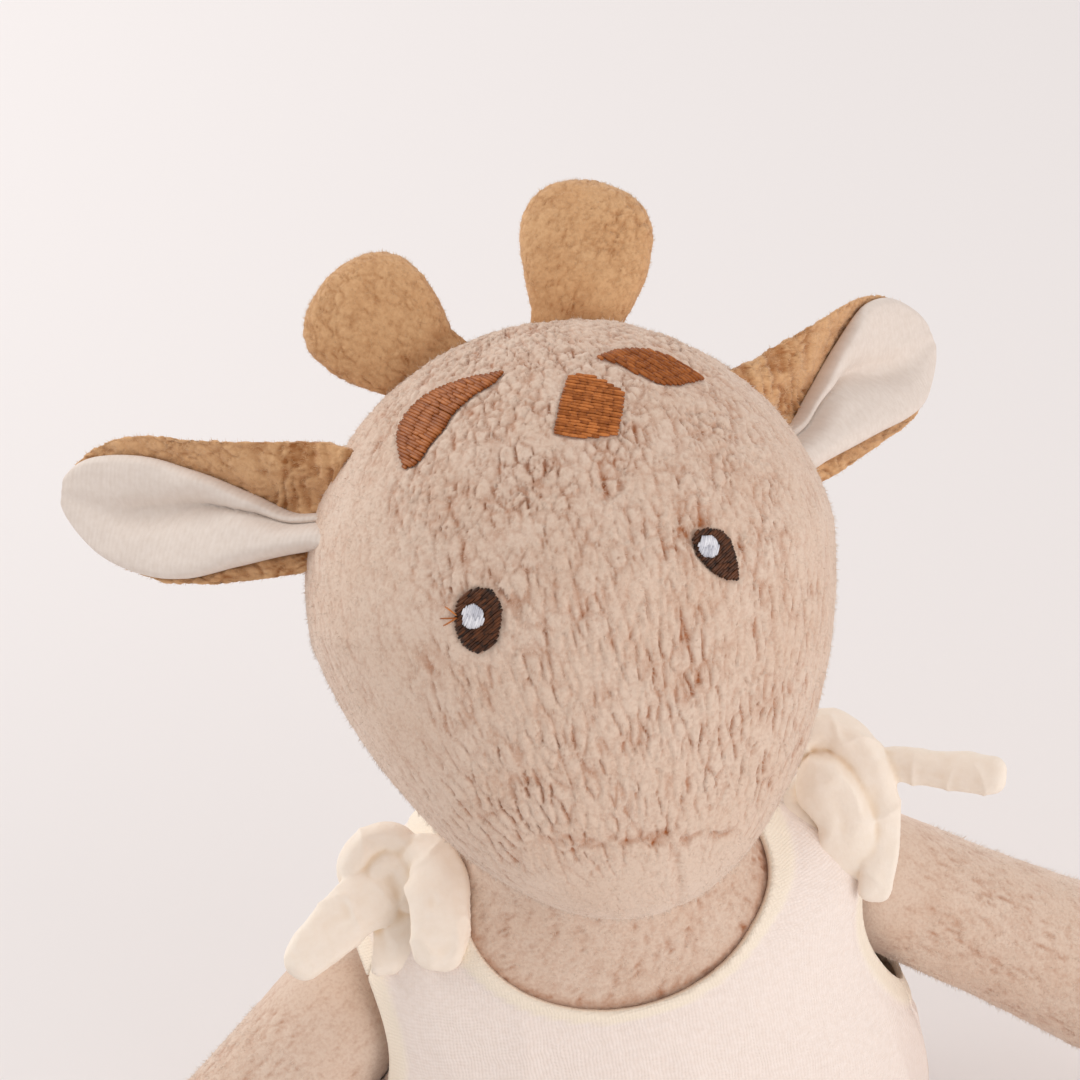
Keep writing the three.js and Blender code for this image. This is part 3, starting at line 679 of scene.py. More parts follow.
# %% Relief of the pile
# Width of a clump, radius and buried length of a loose fibre, in millimetres
TUFT, FIBRE, ROOTED = 1.7, 0.05, 0.25


def squeezed(places, nap, stretch):
    """Places with their part along the nap divided by the stretch, so that clumps that are made
    there come out that much longer along it."""
    nap = np.asarray(nap, float)
    return places - ((places @ nap) * (1 - 1 / stretch))[..., None] * nap


def partings(drawn, size, nap, out, seed, often, cross):
    """Creases and flanks of clumps of a size: a narrow and a wide bell of the distance from the
    border of a clump. A crease that runs with the nap is deepest, one that runs across it has the
    share cross of that, and a noise leaves some open. Borders that lie flat don't show."""
    bend = np.stack([lumps(drawn / (0.8 * size), seed + i) for i in range(3)], -1)
    border, across = clumps(drawn / size + 0.25 * bend, seed + 3)
    across = unit(across)
    across -= (across * out).sum(-1, keepdims=True) * out
    upright = np.clip(2.5 * np.linalg.norm(across, axis=-1) - 0.8, 0, 1)
    runs = np.clip(1.8 * (1 - np.abs((unit(across) * nap).sum(-1))) - 0.3, cross, 1) * upright
    wide = 0.19 + 0.07 * lumps(drawn / (0.6 * size), seed + 6)
    there = np.clip(often + 1.3 * lumps(drawn / (0.9 * size) + 7, seed + 7), 0, 1)
    flank = (0.5 + 0.5 * runs) * upright * np.exp(-((border / 0.42) ** 2))
    return there * runs * np.exp(-((border / wide) ** 2)), flank


def pile_relief(places, drawn, nap, seed, depth, fine=0.7):
    """Height and crease depth for each place: partings of two sizes, lumps, and a noise over a
    few millimetres that lets some parts stay smooth. fine weighs the small partings, and those
    that run across the nap. The crease depth, with a share of the clumps' flanks, becomes painted
    shade in the plush's colour."""
    out = outward(places)
    nap = np.asarray(nap, float)
    nap = unit(nap - (out @ nap)[..., None] * out)
    cross = 0.1 + 0.45 * np.clip(2 * np.asarray(fine) - 1, 0, 1)
    large, flank = partings(drawn, TUFT, nap, out, seed + 10, 0.5, cross)
    small, small_flank = partings(drawn, 0.6 * TUFT, nap, out, seed + 20, 0.3, cross)
    some = np.clip(0.85 + 0.5 * lumps(places / 4.5, seed + 30), 0.4, 1.1)
    crease = some * np.maximum(large**0.75 * (1.25 - 0.45 * fine), 0.85 * small * fine)
    puffs = 0.55 * flank + 0.3 * fine * small_flank
    height = -depth * (0.42 * crease + some * puffs) + 0.07 * lumps(drawn / 0.8, seed + 40)
    height += 0.2 * lumps(places / 5, seed + 50)
    return height + 0.35 * depth, np.clip(crease + 0.16 * puffs, 0, 1)


def fibre_tips(name, rows, lean, count, length, seed, material, keep=None):
    """Loose fibre tips: at random places of a grid, weighted by area, stands a spike of four
    faces whose way is the surface's normal, leaning with the nap, plus a random part."""
    rng = np.random.default_rng(seed)
    right = np.roll(rows, -1, 1) - rows
    down = np.diff(rows, axis=0, append=rows[-1:])
    area = np.linalg.norm(np.cross(right, down), axis=-1)
    if keep is not None:
        area = area * keep
    pick = rng.choice(area.size, count, p=(area / area.sum()).ravel())
    a, b = rng.uniform(0, 1, (2, count, 1))
    foot = rows.reshape(-1, 3)[pick] + a * right.reshape(-1, 3)[pick] + b * down.reshape(-1, 3)[pick]
    out = outward(rows).reshape(-1, 3)[pick]
    lean = np.asarray(lean, float)
    flat = lean - out * (out @ lean)[:, None]
    way = unit(out + 0.8 * flat + 0.5 * rng.normal(size=(count, 3)))
    side = unit(np.cross(way, rng.normal(size=(count, 3))))
    other = np.cross(way, side)
    tall = length * rng.uniform(0.5, 1.15, (count, 1))
    foot = foot - ROOTED * out
    ring = [foot + FIBRE * (math.cos(t) * side + math.sin(t) * other) for t in np.radians([0, 120, 240])]
    points = np.stack([*ring, foot + tall * way], 1).reshape(-1, 3)
    corner = np.array([[0, 2, 1], [0, 1, 3], [1, 2, 3], [2, 0, 3]])
    tris = (4 * np.arange(count)[:, None, None] + corner).reshape(-1, 3)
    shade = np.tile([0.12, 0.12, 0.12, -0.1], count) + np.repeat(rng.uniform(-0.1, 0.1, count), 4)
    return make_piece(name, points, [], tris, material, {"crease": shade})


print("clumps are", TUFT, "mm wide")


# %% A plush form from its grid
def plush_cover(
    name,
    rows,
    first,
    last,
    seed,
    material,
    drawn,
    nap,
    calm=0.0,
    sink=0.0,
    dark=0.0,
    depth=0.85,
    fine=0.7,
    limit=None,
):
    """The form with its relief along the normals. calm, from 0 to 1, flattens the pile, as by a
    seam, sink presses it down, and dark adds painted shade to its colour, or painted light where
    it is below 0. limit puts the points where they may be."""
    height, crease = pile_relief(rows, drawn, nap, seed, depth, fine)
    moved = rows + (height * (1 - calm) - sink)[..., None] * outward(rows)
    if limit is not None:
        moved = limit(moved)
    points, quads, tris = sewn_tube(moved, first, last)
    quads, tris = facing_out(points - (first + last) / 2, quads, tris)
    # Painted shade: the crease depth, less where the pile is calm, plus dark
    values = np.clip(crease * (1 - 0.75 * calm) + dark, 0, 1)
    piece = make_piece(name, points, quads, tris, material, {"crease": np.append(values.ravel(), [0, 0])})
    return piece, moved


def between_ends(count, ends=0.004):
    """Shares of a way, without its two ends, as a column."""
    return np.linspace(ends, 1 - ends, count)[:, None]


def around(count, start=0.0):
    """Turns of a circle, as a row."""
    return start + 2 * math.pi * np.arange(count)[None, :] / count


print("plush is ready to sew")

# %% [markdown]
# ## Torso cover and filling
# On the toy the torso is two or three panels, stuffed until the belly is round. Only the neck
# and the chest show above the romper, and small moons at the arms and legs, so fibre tips grow
# only there. The filling inside is the same form, a cloth's thickness smaller, with soft lumps.

# %% Torso
NECKLINE_HALF, NECKLINE_TOP, FRONT_DEPTH, BACK_DEPTH, CROTCH = 25.5, 93.0, 12.0, 10.0, 9.0
# The part of the neck end that the head hides: a ball, from the neck's centre
HIDDEN_AT, HIDDEN_RADIUS = np.array([0.0, -6.0, 22.0]), 21.0


def past_neckline(points):
    """How far inside the neckline's opening a point is: straight down to its top, then an oval,
    deeper in front than behind."""
    x, y, z = np.moveaxis(points, -1, 0)
    deep = np.where(y < spine(NECKLINE_TOP)[0], FRONT_DEPTH, BACK_DEPTH)
    down = np.maximum(NECKLINE_TOP - z, 0) / deep
    return (1 - np.hypot(x / NECKLINE_HALF, down)) * NECKLINE_HALF


def bare_plush(points):
    """1 where the torso shows outside the romper, else 0."""
    shows = (past_neckline(points) > 2.2) | (near_limbs(points, 5.0) > 0.55)
    hidden = np.linalg.norm(points - NECK_CENTRE - HIDDEN_AT, axis=-1) < HIDDEN_RADIUS
    return shows & ~hidden & (points[..., 2] > 3)


def torso_grid(rows, columns, inset=0.0):
    """The torso's points, without its two ends."""
    return torso_surface(around(columns), between_ends(rows), inset)


def above_seat(points):
    """The points, with those below the romper's seat lifted onto it."""
    return np.concatenate([points[..., :2], np.maximum(points[..., 2:], GAUZE + GAP)], -1)


torso_rows = dimpled(torso_grid(190, 230), GAP)
torso_ends = torso_surface(np.zeros(2), np.array([0.0, 1.0]))
torso, torso_rows = plush_cover(
    "torso_plush",
    torso_rows,
    *torso_ends,
    seed=11,
    material=beige_plush,
    drawn=squeezed(torso_rows, (0, 0, 1), 1.8),
    nap=(0, 0, 1),
    calm=np.maximum(near_limbs(torso_rows, 3.0), 0.45),
    sink=-0.25 * np.exp(-(((past_neckline(torso_rows) - 1.2) / 1.4) ** 2)),
    # Painted shade, in warm brown, where the plush goes under the neckline's hem
    dark=0.35 * np.exp(-((past_neckline(torso_rows) / 1.5) ** 2)),
    limit=above_seat,
)
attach(torso, "torso")
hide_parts("torso_cover")
torso_pile = fibre_tips(
    "torso_pile",
    torso_rows,
    lean=(0, 0, -1),
    count=16000,
    length=1.0,
    seed=12,
    material=beige_tips,
    keep=bare_plush(torso_rows),
)
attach(torso_pile, "torso")
print("torso", len(torso.data.polygons), "faces, pile", len(torso_pile.data.polygons))


# %% Fillings
def stuffing(name, rows, first, last, body, node, seed):
    """Loose fibre pressed into the shape of its cover, with lumps a centimetre wide that only
    sink, so that it never passes the cloth."""
    sink = 0.5 + 0.5 * lumps(rows / 9, seed) + 0.3 * (1 + lumps(rows / 3.5, seed + 5))
    points, quads, tris = sewn_tube(rows - sink[..., None] * outward(rows), first, last)
    quads, tris = facing_out(points - (first + last) / 2, quads, tris)
    piece = make_piece(name, points, quads, tris, filling)
    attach(piece, body)
    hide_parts(node)


INNER = PLUSH + GAP
torso_inner_ends = torso_surface(np.zeros(2), np.array([0.0, 1.0]), INNER)
stuffing(
    "torso_stuffing",
    dimpled(torso_grid(90, 110, INNER), GAP + INNER),
    *torso_inner_ends,
    body="torso",
    node="torso_filling",
    seed=21,
)
print("torso filled")

# %% [markdown]
# ## The head
# The head is an egg with its narrow end as the muzzle. Its outline is half an ellipse above and
# below, and its sides draw in towards the muzzle. The nap lies from crown to chin, which makes
# short nubs on the forehead and long furrows on the nose, as the squeeze of the noise grows. A
# hollow below takes the neck end, and shallow grooves are the mouth and the chin seam.

# %% Head surface
HEAD_WIDTH, CROWN, MUZZLE, FACE, NAPE = 40.5, 39.5, 51.5, 34.0, 36.0
WIDTH_TAPER, DEPTH_TAPER = 0.17, 0.3


def head_surface(turn, share, inset=0.0):
    """A point of the egg in the head's frame: share runs from crown to muzzle as the angle of an
    ellipse, and turn goes round it. Below the middle both half axes shrink with the depth."""
    angle = math.pi * share
    tall = np.where(angle > math.pi / 2, MUZZLE, CROWN) - inset
    narrow = np.maximum(-np.cos(angle), 0)
    round_off = np.sin(angle)
    width = (HEAD_WIDTH - inset) * (1 - WIDTH_TAPER * narrow) * round_off
    deep = np.where(np.sin(turn) < 0, FACE, NAPE) - inset
    depth = deep * (1 - DEPTH_TAPER * narrow) * round_off
    height = tall * np.cos(angle) + 0 * turn
    return np.stack([width * np.cos(turn), depth * np.sin(turn), height], -1)


def egg_ring(height, deep, grown):
    """Half width and half depth of the egg's ring at a height, where the middle ring has the
    given depth, and the whole egg has grown by an offset."""
    tall = np.where(height < 0, MUZZLE, CROWN) + grown
    along = np.clip(np.abs(height) / tall, 0, 1)
    narrow = np.where(height < 0, along, 0)
    round_off = np.sqrt(1 - along**2)
    width = (HEAD_WIDTH + grown) * (1 - WIDTH_TAPER * narrow) * round_off
    return width, (deep + grown) * (1 - DEPTH_TAPER * narrow) * round_off


def on_face(x, height, above=0.0):
    """The point of the face, or so far above it, that is seen from the front at x and height."""
    width, depth = egg_ring(height, FACE, above)
    return np.stack([x, -depth * np.sqrt(np.clip(1 - (x / width) ** 2, 0, 1)), height], -1)


def hollowed_for_neck(points, radius):
    """Points of the head in the toy's frame, lifted along the neck to the ball that its end
    turns in, where they lie under it."""
    axis = np.array([0, -math.sin(NECK_BOW), math.cos(NECK_BOW)])
    place = points - NECK_CENTRE
    along = place @ axis
    off = np.linalg.norm(place - along[..., None] * axis, axis=-1)
    cap = np.sqrt(np.maximum(radius**2 - off**2, 0))
    lift = np.where((off < radius) & (along < cap), cap - along, 0)
    return points + lift[..., None] * axis


print("nose at", np.round(from_head(on_face(0.0, -20.0)), 1))

# %% Marks of the needle on the head
# Places on the face, as x and height in the head's frame
MOUTH = np.array(
    [[-15.5, -34.3], [-10.8, -36.0], [-6.6, -37.1], [-0.8, -38.3], [6.7, -40.1], [11.5, -40.8]]
)
CHIN_SEAM = np.array([[2.6, -41.5], [3.1, -46.5], [3.0, -51.0]])


def smooth_outline(*arcs):
    """A closed outline of arcs that meet in corners: each is a smooth line through its points."""
    lines = []
    for arc in map(np.array, arcs):
        places = np.append(0, np.cumsum(np.hypot(*np.diff(arc, axis=0).T)))
        steps = np.linspace(0, places[-1], 6 * len(arc), endpoint=False)
        lines.append(through(places, arc, steps))
    return np.concatenate(lines)


CENTRE_PATCH = smooth_outline(
    [[3.2, 29.8], [6.2, 28.7], [9.8, 25.5]],
    [[9.8, 25.5], [8.3, 22.6], [6.5, 19.7]],
    [[6.5, 19.7], [2.0, 20.3], [-1.9, 21.8]],
    [[-1.9, 21.8], [0.3, 25.6], [3.2, 29.8]],
)
CRESCENTS = {
    "right": smooth_outline(
        [[-23, 22.3], [-22.8, 25.5], [-21.9, 27.9], [-19.9, 30.2]]
        + [[-17.1, 31.8], [-13.7, 32.7], [-9.8, 32.9], [-5.6, 32.5]],
        [[-5.6, 32.5], [-7.5, 31.3], [-10.6, 30.3], [-13.9, 28.6]]
        + [[-16.3, 26.5], [-19, 24.5], [-21.7, 22.4], [-23, 22.3]],
    ),
    "left": smooth_outline(
        [[8.1, 31.4], [11.6, 31.8], [15.3, 31.2], [18.9, 29.4], [21.5, 26.9], [23.1, 24.9]],
        [[23.1, 24.9], [18.7, 24.8], [15.6, 25.6], [13.2, 27.5], [10.9, 29.6], [8.1, 31.4]],
    ),
}
EYES = {
    "right": smooth_outline(
        [[-17.9, 3.3], [-16.2, 2.4], [-15.6, 0.2], [-16.2, -2.5], [-17.6, -4.9], [-19.6, -5.6]],
        [[-19.6, -5.6], [-21.2, -4.3], [-21.9, -1.7], [-21.3, 1.3], [-19.7, 3.1], [-17.9, 3.3]],
    ),
    "left": smooth_outline(
        [[15.6, 3.7], [17.6, 2.8], [18.6, 0.9], [18.8, -1.6], [18.5, -4.4]],
        [[18.5, -4.4], [16.7, -3.7], [14.5, -1.7], [13.2, 0.7], [13.1, 2.6], [14.2, 3.7], [15.6, 3.7]],
    ),
}


def distance_to_line(x, y, line):
    """The least distance from each place to a line of straight pieces."""
    best = np.full(np.shape(x), 1e9)
    for (ax, ay), (bx, by) in zip(line[:-1], line[1:], strict=True):
        long2 = (bx - ax) ** 2 + (by - ay) ** 2
        t = np.clip(((x - ax) * (bx - ax) + (y - ay) * (by - ay)) / long2, 0, 1)
        best = np.minimum(best, np.hypot(x - ax - t * (bx - ax), y - ay - t * (by - ay)))
    return best


def inside_outline(x, y, outline):
    """Whether each place lies inside a closed outline: it crosses an odd number of its sides."""
    inside = np.zeros(np.shape(x), bool)
    for (ax, ay), (bx, by) in zip(outline, np.roll(outline, -1, 0), strict=True):
        crosses = (ay > y) != (by > y)
        where = ax + (y - ay) / (by - ay if by != ay else 1) * (bx - ax)
        inside ^= crosses & (x < where)
    return inside


print("mouth is", round(float(np.linalg.norm(np.diff(MOUTH, axis=0), axis=1).sum()), 1), "mm long")

# %% [markdown]
# ## Head cover
# The nap of the head is drawn out more and more from the crown to the nose, which turns round
# nubs into furrows. The needle holds the pile down under each embroidered patch and along the
# mouth, so there the relief is flat and sunk. Last come the neck's hollow and the fibre tips.


# %% Head cover
def head_drawn(places):
    """Places of the head with the height squeezed: the height becomes the sum of one over the
    stretch, which grows from the crown to the nose."""
    levels = np.linspace(-60, 60, 121)
    stretch = through([-60, -35, -8, 12, 60], [2.8, 3.3, 2.7, 1.5, 1.25], levels)[:, 0]
    length = np.append(0, np.cumsum(2 / (stretch[1:] + stretch[:-1])))
    drawn = places.copy()
    drawn[..., 2] = np.interp(places[..., 2], levels, length)
    return drawn


def closed(outline):
    """The outline with its first place again at its end."""
    return np.concatenate([outline, outline[:1]])


def pressed_down(rows, outlines, fade):
    """1 under a stitched outline on the face, fading out beside it."""
    x, height = rows[..., 0], rows[..., 2]
    press = np.zeros(x.shape)
    for outline in outlines:
        beside = np.exp(-((distance_to_line(x, height, closed(outline)) / fade) ** 2))
        press = np.maximum(press, np.where(inside_outline(x, height, outline), 1.0, beside))
    return press * (rows[..., 1] < 0)


HEAD_ROWS, HEAD_COLUMNS = 420, 540
front_heavy = around(HEAD_COLUMNS)
front_heavy = front_heavy - 0.35 * np.cos(front_heavy)
head_rows = head_surface(front_heavy, between_ends(HEAD_ROWS))
embroidered = [CENTRE_PATCH, *CRESCENTS.values(), *EYES.values()]
head_press = pressed_down(head_rows, embroidered, 0.5)
# Painted shade under the stitches and just beside their outlines
shade_under_thread = pressed_down(head_rows, embroidered, 0.12)
face_x, face_side, face_height = head_rows[..., 0], head_rows[..., 1] < 0, head_rows[..., 2]
mouth_wave = face_height + 0.9 * lumps(head_rows / 1.7, 34)
mouth_fold = np.exp(-((distance_to_line(face_x, mouth_wave, MOUTH) / 0.9) ** 2)) * face_side
mouth_fold *= np.clip(0.5 + 1.5 * lumps(head_rows / 1.5, 33), 0, 1)
chin_fold = np.exp(-((distance_to_line(face_x, face_height, CHIN_SEAM) / 0.7) ** 2)) * face_side
# The pile lies smooth on the cheeks, from 20 mm beside the nose, and more and more down the chin
sides_smooth = 0.75 * np.clip((np.abs(face_x - 2) - 20) / 13, 0, 1)
calm_at, calm_there = [-60, -44, -38, -28, -8, 8, 60], [0.9, 0.85, 0.5, 0.12, 0.1, 0.02, 0.0]
head_calm = np.maximum(sides_smooth, through(calm_at, calm_there, face_height)[..., 0])
# Painted light: the chin below the mouth is painted lighter
chin_painted_light = np.clip((-face_height - 40) / 5, 0, 1)
head_ends = from_head(head_surface(np.zeros(2), np.array([0.0, 1.0])))
head, head_rows_world = plush_cover(
    "head_plush",
    head_rows,
    *head_ends,
    seed=31,
    material=beige_plush,
    drawn=head_drawn(head_rows),
    nap=(0, 0, 1),
    calm=np.maximum(head_press, head_calm),
    sink=0.22 * head_press + 0.5 * mouth_fold + 0.35 * chin_fold,
    # Painted shade under the stitches and in the mouth and chin seams; painted light on the chin
    dark=0.5 * shade_under_thread + 0.5 * mouth_fold + 0.2 * chin_fold - 0.1 * chin_painted_light,
    fine=through([-60, -30, 0, 60], [0.45, 0.5, 0.8, 1.0], face_height)[..., 0],
    limit=lambda points: hollowed_for_neck(from_head(points), NECK_RADIUS + NECK_PLAY),
)
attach(head, "head")
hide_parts("head_cover")
off_neck = np.linalg.norm(head_rows_world - NECK_CENTRE, axis=-1) > NECK_RADIUS + 3
chin_down = from_head([0, 0, -1]) - HEAD_CENTRE
head_pile = fibre_tips(
    "head_pile",
    head_rows_world,
    lean=chin_down,
    count=49500,
    length=1.0,
    seed=32,
    material=beige_tips,
    keep=off_neck * (head_press < 0.5),
)
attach(head_pile, "head")
print("head", len(head.data.polygons), "faces, pile", len(head_pile.data.polygons))

# %% Head filling
head_inner = hollowed_for_neck(
    from_head(head_surface(around(110), between_ends(90), INNER)), NECK_RADIUS + NECK_PLAY + INNER
)
head_inner_ends = from_head(head_surface(np.zeros(2), np.array([0.0, 1.0]), INNER))
stuffing("head_stuffing", head_inner, *head_inner_ends, body="head", node="head_filling", seed=41)
print("head filled")

# %% [markdown]
# ## Embroidery
# Satin stitch is rows of parallel thread, each 0.4 to 0.6 mm thick, that dive into the cloth at
# the outline and about every 1.5 mm inside it. So a patch is a set of short tubes with low ends.
# One painted patch would be quicker, but it would have no shine along its threads from the side.


# %% Stitches
def satin_fill(outline, angle, pitch, length, seed):
    """Starts and ends of stitches: lines a pitch apart at an angle, cut where they cross the
    outline, and cut again into stitches of about the length."""
    rng = np.random.default_rng(seed)
    c, s = math.cos(angle), math.sin(angle)
    turn = np.array([[c, -s], [s, c]])
    flat = outline @ turn
    starts, ends = [], []
    for level in np.arange(flat[:, 1].min() + 0.5 * pitch, flat[:, 1].max(), pitch):
        a, b = flat, np.roll(flat, -1, 0)
        crosses = (a[:, 1] > level) != (b[:, 1] > level)
        a, b = a[crosses], b[crosses]
        places = np.sort(a[:, 0] + (level - a[:, 1]) / (b[:, 1] - a[:, 1]) * (b[:, 0] - a[:, 0]))
        for left, right in zip(places[::2], places[1::2], strict=True):
            pieces = max(1, round((right - left) / length + rng.uniform(-0.35, 0.35)))
            cuts = np.linspace(left, right, pieces + 1)
            cuts[1:-1] += rng.uniform(-0.3, 0.3, pieces - 1) * length
            cuts[[0, -1]] += rng.uniform(-0.08, 0.1, 2)
            height = np.full(pieces + 1, level) + rng.uniform(-0.2, 0.2, pieces + 1) * pitch
            line = np.stack([cuts, height], -1) @ turn.T
            starts.append(line[:-1] - 0.2 * turn[:, 0])
            ends.append(line[1:] + 0.2 * turn[:, 0])
    return np.concatenate(starts), np.concatenate(ends)


def stitches(name, threads, seed, material, radius, base, arch, node=None, tones=(0.1, 0.8)):
    """A tube for each stitch, six sides round: its middle rises from the cloth by the base and an
    arch of the sine of its way, and its ends are drawn together."""
    start, end = threads
    rng = np.random.default_rng(seed)
    count, steps, sides = len(start), 9, 6
    share = np.linspace(0, 1, steps)
    flat = start[:, None] + share[None, :, None] * (end - start)[:, None]
    rise = base + arch * np.sin(math.pi * share) ** 0.5 + rng.uniform(-0.06, 0.06, (count, 1))
    centre = from_head(on_face(flat[..., 0], flat[..., 1], rise))
    up = unit(from_head(on_face(flat[..., 0], flat[..., 1], rise + 0.5)) - centre)
    side = unit(np.cross(np.gradient(centre, axis=1), up))
    wide = radius * (0.6 + 0.4 * np.sin(math.pi * share) ** 0.4)[:, None, None]
    turn = around(sides)[0][:, None]
    ring = np.cos(turn) * side[:, :, None] + 0.8 * np.sin(turn) * up[:, :, None]
    rows = centre[:, :, None] + wide * ring
    _, quads, tris = sewn_tube(rows[0], centre[0, 0], centre[0, -1])
    per_stitch = steps * sides + 2
    points = np.concatenate([rows.reshape(count, -1, 3), centre[:, [0, -1]]], 1).reshape(-1, 3)
    shift = per_stitch * np.arange(count)[:, None, None]
    quads, tris = (quads + shift).reshape(-1, 4), (tris + shift).reshape(-1, 3)
    quads, tris = facing_out(points, quads, tris)
    # A random tone for each stitch, plus painted light on its raised middle and painted shade at its ends
    tone = rng.uniform(*tones, (count, 1)) + 0.3 * np.sin(math.pi * share) - 0.15
    tone = np.clip(tone + rng.uniform(-0.12, 0.12, (count, steps)), 0, 1)
    tone = np.concatenate([np.repeat(tone, sides, 1), tone[:, [0, -1]]], 1)
    piece = make_piece(name, points, quads, tris, material, {"strand": tone})
    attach(piece, "head")
    if node:
        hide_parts(node)
    return piece


patch_threads = satin_fill(CENTRE_PATCH, math.radians(-23), pitch=0.42, length=1.35, seed=51)
centre_patch = stitches(
    "forehead_centre_stitches",
    patch_threads,
    seed=52,
    material=brown_thread,
    radius=0.25,
    base=0.12,
    arch=0.14,
    node="forehead_patch_centre",
)
for side_name, outline in CRESCENTS.items():
    crescent = stitches(
        f"forehead_{side_name}_stitches",
        satin_fill(outline, math.radians(-48), pitch=0.46, length=1.6, seed=53),
        seed=54,
        material=brown_thread,
        radius=0.3,
        base=0.1,
        arch=0.12,
        node=f"forehead_patch_{side_name}",
        # Only the darker tones: painted shade, as the crescents face further from the light than the centre
        # patch
        tones=(0.0, 0.4),
    )
print("centre patch of", len(patch_threads[0]), "stitches")

# %% Eyes
GLINTS = {
    "right": smooth_outline(
        [[-19.1, 1.3], [-18.1, -0.2], [-18.5, -1.7], [-19.9, -1.9], [-20.9, -0.8], [-20.6, 0.8], [-19.1, 1.3]]
    ),
    "left": smooth_outline(
        [[14.5, 2.8], [15.9, 2.4], [16.5, 1.1], [15.6, -0.2], [14.2, 0.1], [13.5, 1.5], [14.5, 2.8]]
    ),
}
for side_name, outline in EYES.items():
    eye = stitches(
        f"{side_name}_eye_stitches",
        satin_fill(outline, math.radians(28), pitch=0.36, length=1.5, seed=61),
        seed=62,
        material=dark_thread,
        radius=0.23,
        base=0.15,
        arch=0.2,
        node=f"{side_name}_eye",
        tones=(0.0, 0.5),
    )
    glint = stitches(
        f"{side_name}_highlight_stitches",
        satin_fill(GLINTS[side_name], math.radians(60), pitch=0.26, length=1.3, seed=63),
        seed=64,
        material=white_thread,
        radius=0.18,
        base=0.6,
        arch=0.2,
        node=f"{side_name}_eye_highlight",
    )
# Three thread ends that came loose beside the right eye
loose = np.array([[-21.4, -0.1], [-21.5, 0.2], [-21.6, 0.0]])
loose_ends = loose + [[-2.4, 0.5], [-1.3, 1.7], [-2.0, -0.7]]
tuft = stitches(
    "right_eye_thread_end",
    (loose, loose_ends),
    seed=65,
    material=brown_thread,
    radius=0.12,
    base=0.3,
    arch=0.6,
)
print("eyes embroidered")

# %% [markdown]
# ## Ears
# An ear is a plush back and a jersey lining, sewn together round the tip and folded once along
# the middle where it goes into the head seam. The back rolls forward over the top, widest at the
# root. Both are leaves with a closed section, so no edge is open, and both start exactly at the
# head: the start of each line along the ear is found by a search for the head's surface.


# %% Sewn to the head
def inside_head(points, offset):
    """Whether points of the head's frame lie inside the egg, grown by an offset."""
    x, y, z = np.moveaxis(points, -1, 0)
    width, depth = np.maximum(egg_ring(z, np.where(y < 0, FACE, NAPE), offset), 1e-6)
    return (x / width) ** 2 + (y / depth) ** 2 < 1


def out_of_head(points, way, reach):
    """How far each point goes along a way until it reaches the seam's depth in the head."""
    return way_out(points, way, lambda places: inside_head(places, HEAD_SEAM), reach, halvings=20)


EAR_LENGTH, EAR_WIDTH, EAR_CUP, EAR_HEIGHT, EAR_BACK = 42.0, 11.0, 4.5, 18.0, 2.0
# Sweep back and rise of each ear: the toy is hand sewn, so they differ
EAR_POSE = {"left": np.radians([37, 9]), "right": np.radians([32, 20])}
# How far each ear bends up to its root
EAR_LIFT = {1: -1.4, -1: 2.9}
# What is sewn to the head hinges this far outside its form, and starts this far inside it
HINGE_OUT, HEAD_SEAM = 0.8, -0.5


def ear_frame(side, pose):
    """The ear's root in the head's frame and its ways: along, across and out of its hollow."""
    sweep, rise = pose
    c = math.cos(rise)
    along = np.array([side * math.cos(sweep) * c, math.sin(sweep) * c, math.sin(rise)])
    across = np.array([0, 0, 1]) - along * along[2]
    across *= side / np.linalg.norm(across)
    root = on_face(0.0, EAR_HEIGHT, HINGE_OUT)
    width = (HEAD_WIDTH + HINGE_OUT) * math.sqrt(1 - (EAR_HEIGHT / (CROWN + HINGE_OUT)) ** 2)
    nape = -root[1] / (FACE + HINGE_OUT) * (NAPE + HINGE_OUT)
    root = np.array([side * width * math.sqrt(1 - (EAR_BACK / nape) ** 2), EAR_BACK, EAR_HEIGHT])
    return root, np.array([along, across, np.cross(along, across)])


def top_roll(share, across, height):
    """The top edge's roll forward: a bell across the ear that fades out along it."""
    return height * np.clip(1 - share / 0.55, 0, 1) * np.exp(-(((across - 0.62) / 0.3) ** 2))


def ear_half_width(share, side=-1):
    """Half the ear's width at a share of its length: a slightly waisted root, a round tip."""
    waist = 1 - (0.0 if side > 0 else 0.1) * ((0.5 - np.minimum(share, 0.5)) / 0.5) ** 2
    tip = np.sqrt(np.clip(1 - ((np.maximum(share, 0.5) - 0.5) / 0.5) ** 2, 0, 1))
    return EAR_WIDTH * waist * tip


def ear_middle(share, across):
    """How far the middle of the back stands out: the cup grows with the square of the place
    across, and at the root both edges are pinched forward."""
    bowl = EAR_CUP * np.sin(math.pi * np.clip(share, 0, 1) ** 0.8) * across**2
    pinch = 3.2 * np.clip(1 - share / 0.6, 0, 1) ** 1.5 * np.abs(across) ** 1.4
    return bowl + pinch


print("ear is", 2 * ear_half_width(0.5), "mm wide")


# %% Ear leaves
def stacked(*parts):
    """Arrays of shapes that fit each other, as the last axis of one array."""
    return np.stack(np.broadcast_arrays(*parts), -1)


def ear_points(side, pose, share, across, out):
    """Places of the ear's own measures in the head's frame: along its length, across, and out."""
    root, axes = ear_frame(side, pose)
    lifted = EAR_LIFT[side] * np.clip(1 - share / 0.5, 0, 1.2) ** 1.5
    wide = side * (ear_half_width(share, side) * across + lifted)
    return root + stacked((EAR_LENGTH - (side > 0)) * share, wide, out) @ axes


def from_the_head(side, pose, across, out):
    """The share of the ear's length at which each line across leaves the head."""
    share = np.full(np.shape(across), -0.3)
    points = ear_points(side, pose, share, across, out)
    return share + out_of_head(points, ear_frame(side, pose)[1][0], reach=28.0) / EAR_LENGTH


